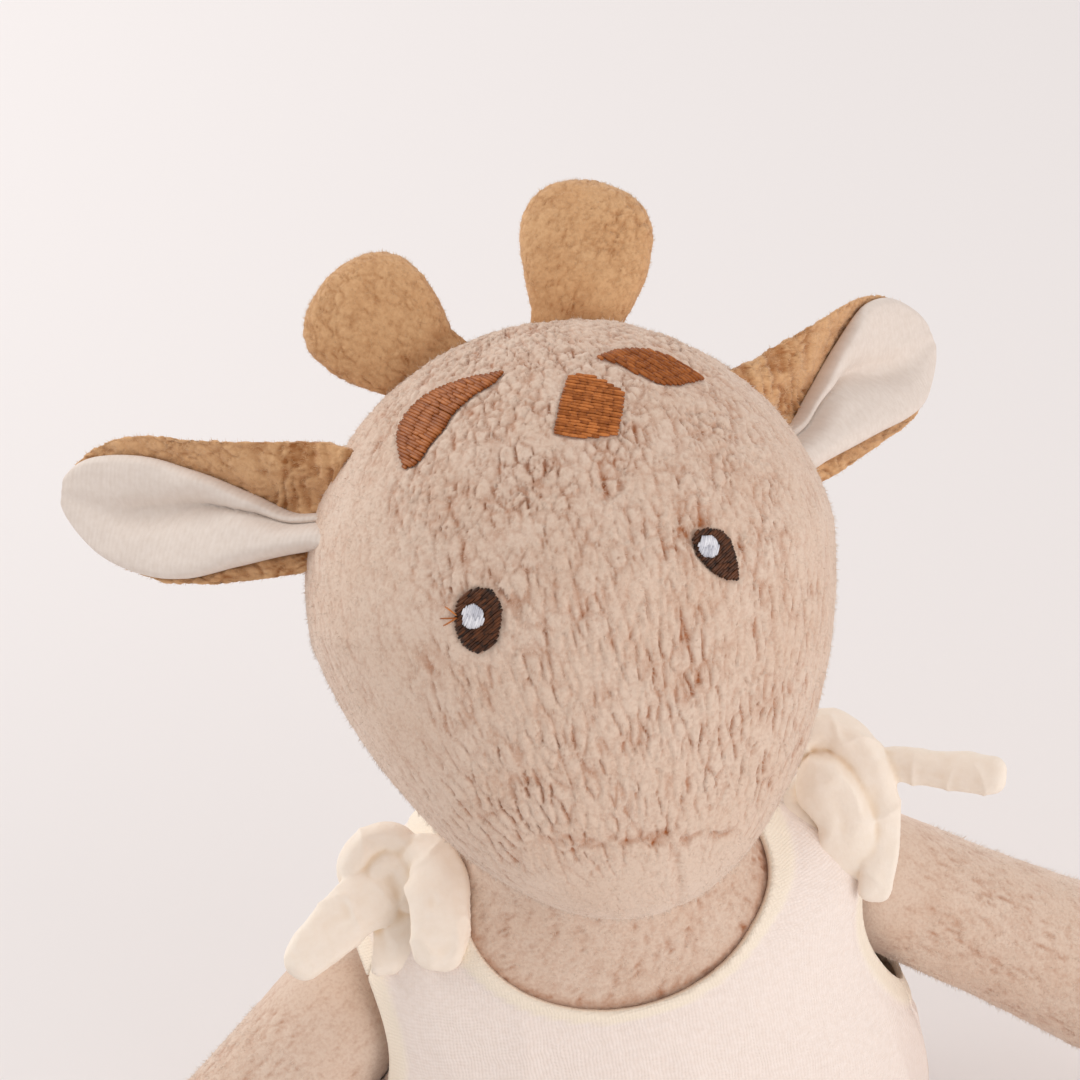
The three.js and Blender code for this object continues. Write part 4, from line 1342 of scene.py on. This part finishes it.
def ear_back_rows(side, pose, seed):
    """Rows from root to tip: half a turn over the front of the leaf and half over its back, with
    the top edge thicker near the root, and pleats there, and how much painted shade each place
    gets in the dips between the pleats."""
    turn = around(150)
    across = np.cos(turn)
    face = np.sign(np.sin(turn)) * np.abs(np.sin(turn)) ** 0.55
    start = from_the_head(side, pose, across, ear_middle(0.0, across) + face)
    share = start + (0.998 - start) * np.sin(0.5 * math.pi * between_ends(170, 0.0))
    thick = 1.05 + 0.25 * np.clip(1 - share / 0.55, 0, 1)
    out = ear_middle(share, across) + face * thick + top_roll(share, across, 1.5) * (face > 0)
    flat = ear_points(side, pose, share, across, out)
    warp = lumps(stacked(8 * share, 3 * across, 0 * out), seed + 1)
    pleats = lumps(stacked(share * 40 + 2.5 * warp, 4 * across + warp, 0 * out), seed)
    pleats *= np.clip(1 - share / 0.35, 0, 1)
    return ear_points(side, pose, share, across, out + 0.6 * pleats * face), np.clip(-1.4 * pleats, 0, 0.6)


# Shares of the ear's length, and there the fold's and the lining's two edges' places across
FOLD_PLACES = [-0.1, 0.0, 0.2, 0.4, 0.6, 0.8, 1.0]
FOLD = [-0.26, -0.24, -0.01, 0.09, -0.04, -0.14, -0.1]
TOP_EDGE = {1: [-0.12, -0.1, 0.2, 0.62, 0.9, 0.96, 0.97], -1: [-0.12, -0.1, 0.24, 0.54, 0.68, 0.76, 0.9]}
BOTTOM_EDGE = {
    1: [-0.74, -0.75, -0.8, -0.85, -0.9, -0.95, -0.95],
    -1: [-0.7, -0.7, -0.78, -0.92, -0.96, -0.97, -0.95],
}
# How far the lobes below and above the fold swell, in millimetres
PILLOW = [4.6, 4.8, 4.6, 3.6, 2.6, 1.6, 0.6]
SLIVER = [1.2, 1.6, 2.6, 3.0, 2.4, 1.6, 0.6]
# Towards the tip the two lobes run together into one low pillow with a soft hollow
MERGED = [0.0, 0.0, 0.0, 0.1, 0.75, 1.0, 1.0]
BOWL = [1.0, 1.0, 1.2, 2.4, 2.3, 1.6, 0.6]
HOLLOW = [0.0, 0.0, 0.0, 1.5, 2.4, 1.0, 0.0]


def lobe(share):
    """A lobe of the lining from its outer edge, 0, to the fold, 1: round, then steep at the fold."""
    outer = np.sqrt(1 - (1 - np.clip(share / 0.5, 0, 1)) ** 2)
    return outer * np.sqrt(1 - np.clip((share - 0.55) / 0.45, 0, 1) ** 2.5)


def ear_lining_rows(side, pose, seed):
    """Rows from root to tip of the lining: its front swells between its edges and dives into the
    fold, and its back lies on the leaf behind it."""
    half = 66
    way = (1 - np.cos(math.pi * np.arange(half) / half))[None, :] / 2
    way = np.concatenate([way, 1 - way], 1)
    front = np.arange(2 * half)[None, :] < half
    share0 = np.zeros((1, 2 * half))

    def section(share):
        """Places across and out of the rings at shares of the ear's length."""
        look = lambda table: through(FOLD_PLACES, table, share)[..., 0]
        top, bottom, fold = look(TOP_EDGE[side]), look(BOTTOM_EDGE[side]), look(FOLD)
        across = top + (bottom - top) * way
        upper = np.clip((top - across) / (top - fold), 0, 1)
        lower = np.clip((across - bottom) / (fold - bottom), 0, 1)
        lobes = np.where(across > fold, look(SLIVER) * lobe(upper), look(PILLOW) * lobe(lower))
        bowl = look(BOWL) * (1 - (2 * way - 1) ** 4)
        swell = lobes + look(MERGED) * (bowl - lobes)
        swell = np.maximum(swell - look(HOLLOW) * np.exp(-(((across - fold + 0.08) / 0.22) ** 2)), 0)
        edge = np.clip(np.minimum(way, 1 - way) / 0.06, 0, 1) ** 0.5
        back = ear_middle(share, across) + 1.15 + top_roll(share, across, 1.3)
        return across, back + 0.25 + np.where(front, 0.75 * edge + swell, 0.0)

    across, out = section(share0)
    start = from_the_head(side, pose, across, out)
    share = start + (0.985 - start) * np.sin(0.5 * math.pi * between_ends(150, 0.0))
    across, out = section(share)
    crumple = 0.18 * lumps(stacked(share * 9, 3 * across, 0 * out), seed)
    return ear_points(side, pose, share, across, out + front * crumple), share, across


for name, side in (("left", 1), ("right", -1)):
    pose = EAR_POSE[name]
    rows, painted_pleat_shade = ear_back_rows(side, pose, 71)
    along, across, out = ear_frame(side, pose)[1]
    ends = from_head(rows[0].mean(0)), from_head(rows[-1].mean(0))
    ear, moved = plush_cover(
        f"{name}_ear_plush",
        rows,
        *ends,
        seed=72,
        material=tan_plush,
        drawn=squeezed(rows, along, 1.4),
        nap=along,
        calm=0.25,
        # Painted shade in the dips between the pleats near the root
        dark=painted_pleat_shade,
        depth=0.6,
        fine=0.9,
        limit=from_head,
    )
    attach(ear, f"{name}_ear")
    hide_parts(f"{name}_ear_back")
    pile = fibre_tips(
        f"{name}_ear_pile",
        moved,
        lean=from_head(along) - HEAD_CENTRE,
        count=10500,
        length=0.85,
        seed=73,
        material=tan_tips,
    )
    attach(pile, f"{name}_ear")
    rows, share, place = ear_lining_rows(side, pose, 74)
    points, quads, tris = sewn_tube(from_head(rows), from_head(rows[0].mean(0)), from_head(rows[-1].mean(0)))
    quads, tris = facing_out(points - points.mean(0), quads, tris)
    flat = stacked(EAR_LENGTH * share, ear_half_width(share) * place).reshape(-1, 2)
    flat = np.concatenate([flat, flat[:1], flat[-1:]])
    lining = make_piece(f"{name}_ear_jersey", points, quads, tris, jersey, uv=flat)
    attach(lining, f"{name}_ear")
    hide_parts(f"{name}_ear_lining")
    print(name, "ear", len(ear.data.polygons), "and", len(lining.data.polygons), "faces")

# %% [markdown]
# ## Ossicones
# Each is a flat paddle of tan plush, turned and lightly stuffed, so it is fuller in the middle
# of its disc than at the sewn edge. A table of heights with half widths and half depths gives
# oval rings, from the seam on the crown to the round top.

# %% Ossicones
# Height, half width and half depth, in millimetres
PADDLE = np.array(
    [
        [-6, 7.4, 2.2],
        [0, 7.4, 2.4],
        [1, 7.6, 2.8],
        [3.7, 8.4, 3.3],
        [7.1, 9.5, 3.7],
        [10.5, 10.2, 3.8],
        [13.9, 10.3, 3.7],
        [17.2, 9.4, 3.3],
        [20, 7.0, 2.6],
        [21.4, 4.0, 1.6],
        [22, 1.2, 0.8],
    ]
)
OSSICONE_HEIGHT = {"left": 22.0, "right": 19.4}
OSSICONE_OUT, OSSICONE_BACK = {"left": 10.5, "right": 14.4}, 2.0
OSSICONE_LEAN = {"left": math.radians(22), "right": math.radians(33)}


def ossicone_frame(name, side):
    """Root and ways of a paddle in the head's frame: width, depth, and up the paddle."""
    a, b = -math.radians(10), side * OSSICONE_LEAN[name]
    about_x = np.array([[1, 0, 0], [0, math.cos(a), -math.sin(a)], [0, math.sin(a), math.cos(a)]])
    about_y = np.array([[math.cos(b), 0, math.sin(b)], [0, 1, 0], [-math.sin(b), 0, math.cos(b)]])
    place = side * OSSICONE_OUT[name]
    crown = (CROWN + HINGE_OUT) * math.sqrt(1 - (place / HEAD_WIDTH) ** 2 - (OSSICONE_BACK / NAPE) ** 2)
    return np.array([place, OSSICONE_BACK, crown]), (about_y @ about_x).T


def paddle_rows(name, side):
    """Oval rings of the paddle from where it leaves the head to just below its top, with its
    root and ways. The table is stretched to the paddle's own height."""
    root, axes = ossicone_frame(name, side)
    turn = around(170)
    top = OSSICONE_HEIGHT[name]
    heights = PADDLE[:, 0] * top / PADDLE[-1, 0]

    def at(height):
        """The paddle's rings at heights above its root, in the head's frame."""
        wide, deep = np.moveaxis(through(heights, PADDLE[:, 1:], height), -1, 0)
        return root + np.stack([wide * np.cos(turn), deep * np.sin(turn), height + 0 * turn], -1) @ axes

    lowest = PADDLE[0, 0]
    start = lowest + out_of_head(at(np.full(turn.shape, lowest)), axes[2], reach=16.0)
    rise = np.sin(0.5 * math.pi * between_ends(110, 0.0)) ** 0.9
    return at(start + (top - 0.1 - start) * rise), root, axes


for name, side in (("left", 1), ("right", -1)):
    rows, root, axes = paddle_rows(name, side)
    ends = from_head(rows[0].mean(0)), from_head(root + (OSSICONE_HEIGHT[name] + 0.1) * axes[2])
    seam = np.clip(1 - (rows - root) @ axes[2] / 2.5, 0, 1)
    paddle, moved = plush_cover(
        f"{name}_ossicone_plush",
        rows,
        *ends,
        seed=81 + side,
        material=tan_plush,
        drawn=squeezed(rows, axes[2], 1.15),
        nap=axes[2],
        calm=0.3,
        sink=0.3 * seam,
        # Painted shade at the seam, where the paddle goes into the crown
        dark=0.2 * seam,
        depth=0.4,
        fine=1.0,
        limit=from_head,
    )
    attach(paddle, f"{name}_ossicone")
    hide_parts(f"{name}_ossicone")
    pile = fibre_tips(
        f"{name}_ossicone_pile",
        moved,
        lean=from_head(axes[2]) - HEAD_CENTRE,
        count=9500,
        length=0.8,
        seed=82,
        material=tan_tips,
    )
    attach(pile, f"{name}_ossicone")
    print(name, "ossicone", len(paddle.data.polygons), "faces")

# %% [markdown]
# ## Arms and legs
# A limb is a long bag with a round root that turns in its dimple and a fuller round end. Its
# rings are circles whose radius is a smooth line through a few values along the limb. The feet
# are pressed flat on the floor, as the toy sits.


# %% Limbs
FLOOR_GAP = 0.02


def limb_surface(turn, share, length, root, end, inset=0.0):
    """A point of a limb along its own Z: rings of the given radii, closed by two round ends."""
    root, end, shaft = root - inset, end - inset, length - end
    cap = np.radians([90, 75, 60, 45, 30, 15])
    table = [[-root * math.sin(t), root * math.cos(t)] for t in cap] + [[0, root]]
    swell = ((0.3, 0.1), (0.6, 0.45), (0.85, 0.9), (1, 1))
    table += [[shaft * at, root + (end - root) * by] for at, by in swell]
    table = np.array(table + [[shaft + end * math.sin(t), end * math.cos(t)] for t in cap[::-1]])
    places = np.append(0, np.cumsum(np.hypot(*np.diff(table, axis=0).T)))
    height, radius = np.moveaxis(through(places / places[-1], table, share), -1, 0)
    return np.stack([radius * np.cos(turn), radius * np.sin(turn), height + 0 * turn], -1)


def plush_limb(name, root, axes, sizes, counts, fibres, seed):
    """Cover, pile and filling of a limb, and its root calmed where it turns in its dimple."""
    rows = limb_surface(around(counts[1]), between_ends(counts[0]), *sizes)
    both_ends = np.zeros(2), np.array([0.0, 1.0])
    calm = np.clip(1.1 - rows[..., 2] / 9, 0.5, 1)

    def placed(points, least=FLOOR_GAP):
        """Points of the limb's own frame in the toy's frame, none of them lower than the least."""
        world = root + points @ axes
        return np.concatenate([world[..., :2], np.maximum(world[..., 2:], least)], -1)

    ends = placed(limb_surface(*both_ends, *sizes))
    cover, moved = plush_cover(
        f"{name}_plush",
        rows,
        *ends,
        seed=seed,
        material=beige_plush,
        drawn=squeezed(rows, (0, 0, 1), 1.8),
        nap=(0, 0, 1),
        calm=calm,
        depth=0.7,
        limit=placed,
    )
    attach(cover, name)
    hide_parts(f"{name}_cover")
    keep = (rows[..., 2] > 7) & (moved[..., 2] > 1.5)
    pile = fibre_tips(
        f"{name}_pile",
        moved,
        lean=axes[2],
        count=fibres,
        length=1.3,
        seed=seed + 1,
        material=beige_tips,
        keep=keep,
    )
    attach(pile, name)
    inner = placed(limb_surface(around(60), between_ends(70), *sizes, INNER), INNER + FLOOR_GAP)
    inner_ends = placed(limb_surface(*both_ends, *sizes, INNER), INNER + FLOOR_GAP)
    stuffing(f"{name}_stuffing", inner, *inner_ends, body=name, node=f"{name}_filling", seed=seed + 2)
    print(name, len(cover.data.polygons), "faces")


for name, side in (("left", 1), ("right", -1)):
    along = arm_way(side)
    level_way = unit(np.cross([0, 0, 1], along))
    arm_axes = np.array([level_way, np.cross(along, level_way), along])
    arm_sizes = (ARM_LENGTH, ARM_ROOT, ARM_END)
    arm_counts = (170, 132)
    plush_limb(f"{name}_arm", arm_root(side), arm_axes, arm_sizes, arm_counts, fibres=13000, seed=91)
    hip, leg_axes = leg_frame(side)
    leg_sizes = (LEG_LENGTH, LEG_ROOT, LEG_END)
    leg_counts = (180, 130)
    plush_limb(f"{name}_leg", hip, leg_axes, leg_sizes, leg_counts, fibres=13500, seed=95)

# %% [markdown]
# ## Romper
# The romper is cut from one soft gauze in two panels, with side seams from the armholes over the
# hips and between the legs, and a turned hem at each opening. The cloth is the torso's surface
# grown by its looseness. A pattern cutter cuts along a line, so here a distance says how far a
# place is from the nearest edge, grid points near the edge step onto it, and the rest is left out.


# %% Cutting a panel
# How far the armholes and the leg holes stand off from the limbs' walls, and the romper's ease
ARM_HEM, LEG_HEM, LOOSE = 2.4, 1.6, 3.0


def hem_distance(points):
    """How far a place is from the romper's nearest hem: neckline, armholes or leg holes."""
    away = [-past_neckline(points)]
    for side in (1, -1):
        away.append(arm_clearance(points, side) - (ARM_ROOT + GAP + ARM_HEM))
        away.append(leg_clearance(points, side) - (LEG_ROOT + GAP + LEG_HEM))
    return np.min(away, axis=0)


def seam_distance(points):
    """How far a place is in front of the side seams, whose plane leans back with the spine."""
    behind = (points[..., 1] + CROTCH) * math.cos(SPINE_LEAN) - points[..., 2] * math.sin(SPINE_LEAN)
    return -behind - GAP / 2


def gauze_surface(turn, share):
    """The outside of the romper: the torso grown by the gap, the gauze and the romper's ease."""
    return torso_surface(turn, share, -GAP - GAUZE, LOOSE)


def cut_panel(distance, start, rows=200, columns=400):
    """Turns and shares of a grid whose points near the edge moved onto it, and their distances.
    Each step goes against the slope of the distance, as in a search for its zero."""
    turn = around(columns, start) + 0 * between_ends(rows)
    share = between_ends(rows, 0.001) + 0 * around(columns)
    value = distance(gauze_surface(turn, share))
    by_share = np.gradient(value, axis=0)
    by_turn = (np.roll(value, -1, 1) - np.roll(value, 1, 1)) / 2
    steep = np.maximum(by_share**2 + by_turn**2, 1e-6)
    near = np.abs(value) < 0.6 * np.sqrt(steep)
    for _ in range(4):
        step = np.where(near, np.clip(-value / steep, -2, 2), 0)
        turn = turn + step * by_turn * 2 * math.pi / columns
        share = np.clip(share + step * by_share / (rows - 1), 0.001, 0.999)
        value = distance(gauze_surface(turn, share))
    return turn, share, np.where(near, np.maximum(value, 0), value)


# How far the left strap stands off, at what height and over what height, and from where across
STRAP_OUT, STRAP_HEIGHT, STRAP_SPREAD, STRAP_FROM, STRAP_WIDTH = 5.3, 85, 8.5, 20, 18


def standing_off(points):
    """The places of the left strap, moved out to where the cloth hangs from the knot to the belly
    past the narrower chest: a bell of the height, growing with the place outwards."""
    x, _, z = np.moveaxis(points, -1, 0)
    share = np.clip((x - STRAP_FROM) / STRAP_WIDTH, 0, 1)
    bell = np.exp(-(((z - STRAP_HEIGHT) / STRAP_SPREAD) ** 2))
    moved = points.copy()
    moved[..., 0] += STRAP_OUT * share**2 * (3 - 2 * share) * bell
    return moved


print("the armhole's hem is", round(ARM_ROOT + GAP + ARM_HEM, 1), "mm from the arm's line")

# %% Sewing a panel
# Width of a hem, and how far in the row of stitches that presses the cloth down beside it lies
HEM_WIDTH, HEM_STITCH = 4.4, 4.6


def gauze_folds(rows, seed):
    """How far the cloth stands out: long soft folds, fuller towards the seat, and fine creases."""
    low = np.clip(1 - rows[..., 2] / 85, 0, 1)
    waves = 1 - np.abs(lumps(rows / [13, 13, 34], seed))
    creases = 1 - np.abs(lumps(rows / [4.5, 4.5, 7], seed + 1))
    return (0.3 + 1.8 * low) * waves**3 + 0.14 * creases**2 + 0.05 * lumps(rows / 1.6, seed + 2)


def cells_inside(value):
    """The cells of a grid with all four corners inside, triangles where only three of them are,
    and which places of the grid these use. Both kinds count within those places."""
    at = np.arange(value.size).reshape(value.shape)
    quads = np.stack([at[:-1, :-1], at[:-1, 1:], at[1:, 1:], at[1:, :-1]], -1).reshape(-1, 4)
    inside = (value > -1e-3).ravel()[quads]
    whole = quads[inside.all(1)]
    three = inside.sum(1) == 3
    odd, gone = quads[three], np.argmin(inside[three], 1)
    tris = np.stack([odd[np.arange(len(odd)), (gone + k) % 4] for k in (1, 2, 3)], -1)
    used, index = np.unique(np.concatenate([whole.ravel(), tris.ravel()]), return_inverse=True)
    return index[: whole.size].reshape(-1, 4), index[whole.size :].reshape(-1, 3), used


def sewn_panel(name, distance, start, seed, node):
    """The panel's mesh: folds stand out from the body, hems are a little thicker, and the cloth
    gets its thickness inwards. Its map is the way along each row and up the cloth."""
    turn, share, value = cut_panel(distance, start)
    rows = gauze_surface(turn, share)
    edge = hem_distance(rows)
    turned = np.clip(HEM_WIDTH - edge, 0, 1)
    stitched = np.exp(-(((edge - HEM_STITCH) / 0.6) ** 2))
    rise = gauze_folds(rows, seed) * np.clip(edge / 6, 0.15, 1) + (0.35 * turned - 0.15 * stitched)
    shown = standing_off(rows + rise[..., None] * outward(rows))
    shown[..., 2] = np.maximum(shown[..., 2], 0.0)
    across = np.cumsum(np.linalg.norm(np.diff(rows, axis=1, append=rows[:, :1]), axis=-1), 1)
    up = np.cumsum(np.linalg.norm(np.diff(rows, axis=0, append=rows[-1:]), axis=-1), 0)
    flat = np.stack([across - across[:, across.shape[1] // 2, None], up], -1)
    quads, tris, used = cells_inside(value)
    points, flat = shown.reshape(-1, 3)[used], flat.reshape(-1, 2)[used]
    piece = make_piece(name, points, quads, tris, gauze, {"double": turned.ravel()[used]}, uv=flat)
    piece.modifiers.new("joined corners", "WELD").merge_threshold = 0.25 * METRES
    cloth = piece.modifiers.new("cloth thickness", "SOLIDIFY")
    cloth.thickness, cloth.offset = GAUZE * METRES, -1.0
    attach(piece, "torso")
    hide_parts(node)
    corner = points[quads]
    diagonals = np.cross(corner[:, 2] - corner[:, 0], corner[:, 3] - corner[:, 1])
    area = np.linalg.norm(diagonals, axis=1).sum() / 2
    spread = np.ptp(flat, axis=0)
    print(name, "area", round(float(area)), "mm2, spread", np.round(spread), "mm,", len(quads), "cells")
    return piece


front_distance = lambda points: np.minimum(hem_distance(points), seam_distance(points))
back_distance = lambda points: np.minimum(hem_distance(points), -seam_distance(points) - GAP)
romper_front = sewn_panel(
    "romper_front_gauze", front_distance, start=math.pi / 2, seed=101, node="romper_front"
)
romper_back = sewn_panel(
    "romper_back_gauze", back_distance, start=-math.pi / 2, seed=105, node="romper_back"
)

# %% [markdown]
# ## Shoulder knots
# The strap ends are cut long, rolled into flat tubes and tied once over each shoulder. Each end
# is a band of cloth carried along a path, wide and flat, and thicker where it is pulled tight.
# Joined, the bands would cut through each other, so a voxel remesh welds them into one skin and a
# little smoothing lets the cloth run from one into the next.


# %% Bands of cloth
VOXEL = 0.4


def rounded(path, times=4):
    """A smooth line near a few places: each side gets points at a quarter and at three quarters
    of it in place of its corners, again and again, and both ends stay."""
    for _ in range(times):
        cut = np.stack([0.75 * path[:-1] + 0.25 * path[1:], 0.25 * path[:-1] + 0.75 * path[1:]], 1)
        path = np.concatenate([path[:1], cut.reshape(-1, path.shape[1]), path[-1:]])
    return path


def cloth_band(path, facing, rows=70, columns=48):
    """A closed band: oval sections with a few pleats along it. A path gives the places and their
    half width and half depth. The flat side faces one way, and both ends are rounded."""
    path = rounded(np.array(path, float))
    places = np.append(0, np.cumsum(np.linalg.norm(np.diff(path[:, :3], axis=0), axis=1)))
    share = np.linspace(0, 1, rows)
    line = np.stack([np.interp(share * places[-1], places, path[:, i]) for i in range(5)], -1)
    centre, wide, deep = line[:, :3], line[:, 3], line[:, 4]
    ends = np.minimum(share, 1 - share) * places[-1]
    closing = np.sqrt(np.clip(1 - (1 - np.clip(ends / (1.3 * deep), 0, 1)) ** 2, 0.02, 1))
    along = unit(np.gradient(centre, axis=0))
    across = unit(np.cross(np.asarray(facing, float), along))
    thin = np.cross(along, across)
    turn = around(columns)
    pleat = 1 + 0.05 * np.cos(4 * turn + 4 * share[:, None]) + 0.03 * np.cos(7 * turn - 6 * share[:, None])
    side = np.cos(turn) * pleat * (wide * (0.3 + 0.7 * closing))[:, None]
    front = np.sin(turn) * pleat * (deep * closing)[:, None]
    return centre[:, None] + side[..., None] * across[:, None] + front[..., None] * thin[:, None], centre


def neighbours_mean(mesh, place, times):
    """Each vertex moved to the mean of itself and its neighbours, again and again."""
    edges = np.empty(2 * len(mesh.edges), np.int32)
    mesh.edges.foreach_get("vertices", edges)
    one, two = np.concatenate([edges.reshape(-1, 2), edges.reshape(-1, 2)[:, ::-1]]).T
    count = 1 + np.bincount(one, minlength=len(place))
    for _ in range(times):
        total = [np.bincount(one, place[two, i], len(place)) for i in range(3)]
        place = (place + np.stack(total, -1)) / count[:, None]
    return place


def one_skin(piece):
    """The piece's closed parts remeshed to a single skin whose joins are soft."""
    skin = piece.modifiers.new("one skin", "REMESH")
    skin.mode, skin.voxel_size = "VOXEL", VOXEL * METRES
    soft = piece.modifiers.new("soft joins", "SMOOTH")
    soft.factor, soft.iterations = 0.5, 4
    skinned = piece.evaluated_get(bpy.context.evaluated_depsgraph_get())
    mesh = bpy.data.meshes.new_from_object(skinned)
    piece.modifiers.clear()
    piece.data = mesh
    return mesh


def crumpled(mesh, seed):
    """The mesh moved along its normals into soft creases, and how deep each place lies in one,
    which the knot's material paints as shade.
    """
    count = len(mesh.vertices)
    place, normal = np.empty(3 * count), np.empty(3 * count)
    mesh.vertices.foreach_get("co", place)
    mesh.vertices.foreach_get("normal", normal)
    place, normal = place.reshape(-1, 3) / METRES, normal.reshape(-1, 3)
    crumple = 0.4 * (1 - np.abs(lumps(place / [5, 5, 8], seed))) ** 4 + 0.35 * lumps(place / 5, seed + 1)
    place = place + (crumple - 0.1 + 0.05 * lumps(place / 1.6, seed + 2))[:, None] * normal
    mesh.vertices.foreach_set("co", (place * METRES).ravel())
    soft_place = neighbours_mean(mesh, place, 14)
    return np.clip(((soft_place - place) * normal).sum(1) / 0.5, 0, 1)


def tied_knot(name, bands, node, seed):
    """All bands of a knot welded into one crumpled piece, with painted shade in its folds."""
    points, quads, tris, total = [], [], [], 0
    for rows, centre in bands:
        p, q, t = sewn_tube(rows, centre[0], centre[-1])
        q, t = facing_out(p - p.mean(0), q, t)
        points, quads, tris = [*points, p], [*quads, q + total], [*tris, t + total]
        total += len(p)
    piece = make_piece(name, *map(np.concatenate, (points, quads, tris)), rolled_gauze)
    mesh = one_skin(piece)
    fold = crumpled(mesh, seed)
    mesh.attributes.new("fold", "FLOAT", "POINT").data.foreach_set("value", fold)
    mesh.polygons.foreach_set("use_smooth", np.ones(len(mesh.polygons), bool))
    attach(piece, "torso")
    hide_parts(node)
    print(name, len(mesh.polygons), "faces")


# %% Both knots
TO_VIEWER = away
OVER_SHOULDER = (0, -0.6, 1)
# Each row: a place on the band's way, and its half width and half depth there
right_tie = [
    [-33.5, 9.4, 94.0, 4.6, 2.8],
    [-38.5, 7.6, 95.0, 5.0, 2.8],
    [-43.5, 6.2, 93.4, 4.8, 2.4],
    [-49.1, 4.0, 90.9, 4.2, 2.1],
    [-54.3, 2.4, 87.8, 3.0, 1.7],
]
right_arch = [
    [-41.0, 10.5, 94.5, 2.4, 2.0],
    [-40.5, 12.5, 100.0, 2.4, 2.0],
    [-34.8, 14.0, 102.8, 2.5, 2.1],
    [-30.6, 12.0, 100.5, 2.4, 2.1],
    [-30.0, 8.5, 95.5, 2.2, 2.0],
]
right_lobe = [
    [-32.0, 10.0, 94.0, 3.8, 2.4],
    [-29.5, 9.0, 99.4, 4.8, 2.2],
    [-27.9, 4.6, 99.2, 5.2, 2.2],
    [-28.6, 0.2, 95.6, 5.2, 2.2],
    [-30.2, -3.0, 91.6, 4.8, 2.2],
    [-31.8, -4.2, 87.2, 3.6, 1.9],
]
right_core = [
    [-38.5, 9.5, 90.5, 4.0, 2.6],
    [-36.5, 9.0, 94.8, 5.2, 3.0],
    [-34.5, 11.0, 97.6, 4.6, 2.8],
    [-31.5, 8.0, 94.5, 5.2, 3.2],
    [-29.0, 9.5, 91.5, 4.0, 2.6],
]
right_strap = [
    [-33.5, 1.5, 83.0, 7.5, 1.0],
    [-34.0, 4.0, 88.5, 6.4, 1.5],
    [-34.0, 8.5, 91.5, 5.4, 2.2],
    [-34.0, 13.0, 90.5, 6.4, 1.5],
    [-34.0, 15.5, 85.0, 7.5, 1.0],
]
right_bands = [cloth_band(path, TO_VIEWER) for path in (right_tie, right_arch, right_lobe, right_core)]
right_bands.append(cloth_band(right_strap, OVER_SHOULDER))
tied_knot("right_shoulder_bow", right_bands, "right_shoulder_knot", 111)
left_loop = [
    [35.5, 12.5, 94.5, 2.6, 2.2],
    [37.6, 13.6, 101.0, 3.0, 2.4],
    [43.4, 11.6, 102.4, 3.3, 2.5],
    [47.0, 6.6, 98.4, 3.4, 2.4],
    [47.4, 2.4, 92.4, 3.4, 2.2],
    [46.2, -1.4, 87.0, 3.2, 1.9],
    [43.6, -5.4, 82.0, 3.0, 1.6],
    [42.0, -7.0, 78.6, 2.6, 1.3],
]
left_core = [
    [36.0, 10.5, 95.5, 3.8, 2.6],
    [38.4, 6.4, 96.2, 4.8, 3.0],
    [40.6, 3.2, 93.4, 4.9, 3.2],
    [41.2, 0.6, 89.6, 4.6, 2.9],
    [40.0, -1.0, 85.6, 5.6, 2.1],
    [38.2, -1.6, 81.4, 7.4, 1.2],
]
left_tie = [
    [42.0, 9.5, 95.6, 2.2, 2.0],
    [46.5, 8.2, 96.2, 2.4, 2.0],
    [50.9, 5.8, 96.2, 2.8, 1.9],
    [55.5, 2.6, 96.5, 3.2, 1.9],
    [60.7, -1.0, 97.1, 3.5, 1.9],
    [66.4, -5.4, 98.4, 3.3, 1.7],
]
left_strap = [
    [36.5, 0.5, 82.5, 8.5, 1.0],
    [37.0, 3.5, 88.0, 7.6, 1.5],
    [36.5, 8.5, 91.5, 6.6, 2.1],
    [35.5, 13.0, 90.5, 6.6, 1.5],
    [35.5, 15.5, 85.0, 7.5, 1.0],
]
left_bands = [cloth_band(path, TO_VIEWER) for path in (left_loop, left_core, left_tie)]
left_bands.append(cloth_band(left_strap, OVER_SHOULDER))
tied_knot("left_shoulder_bow", left_bands, "left_shoulder_knot", 115)
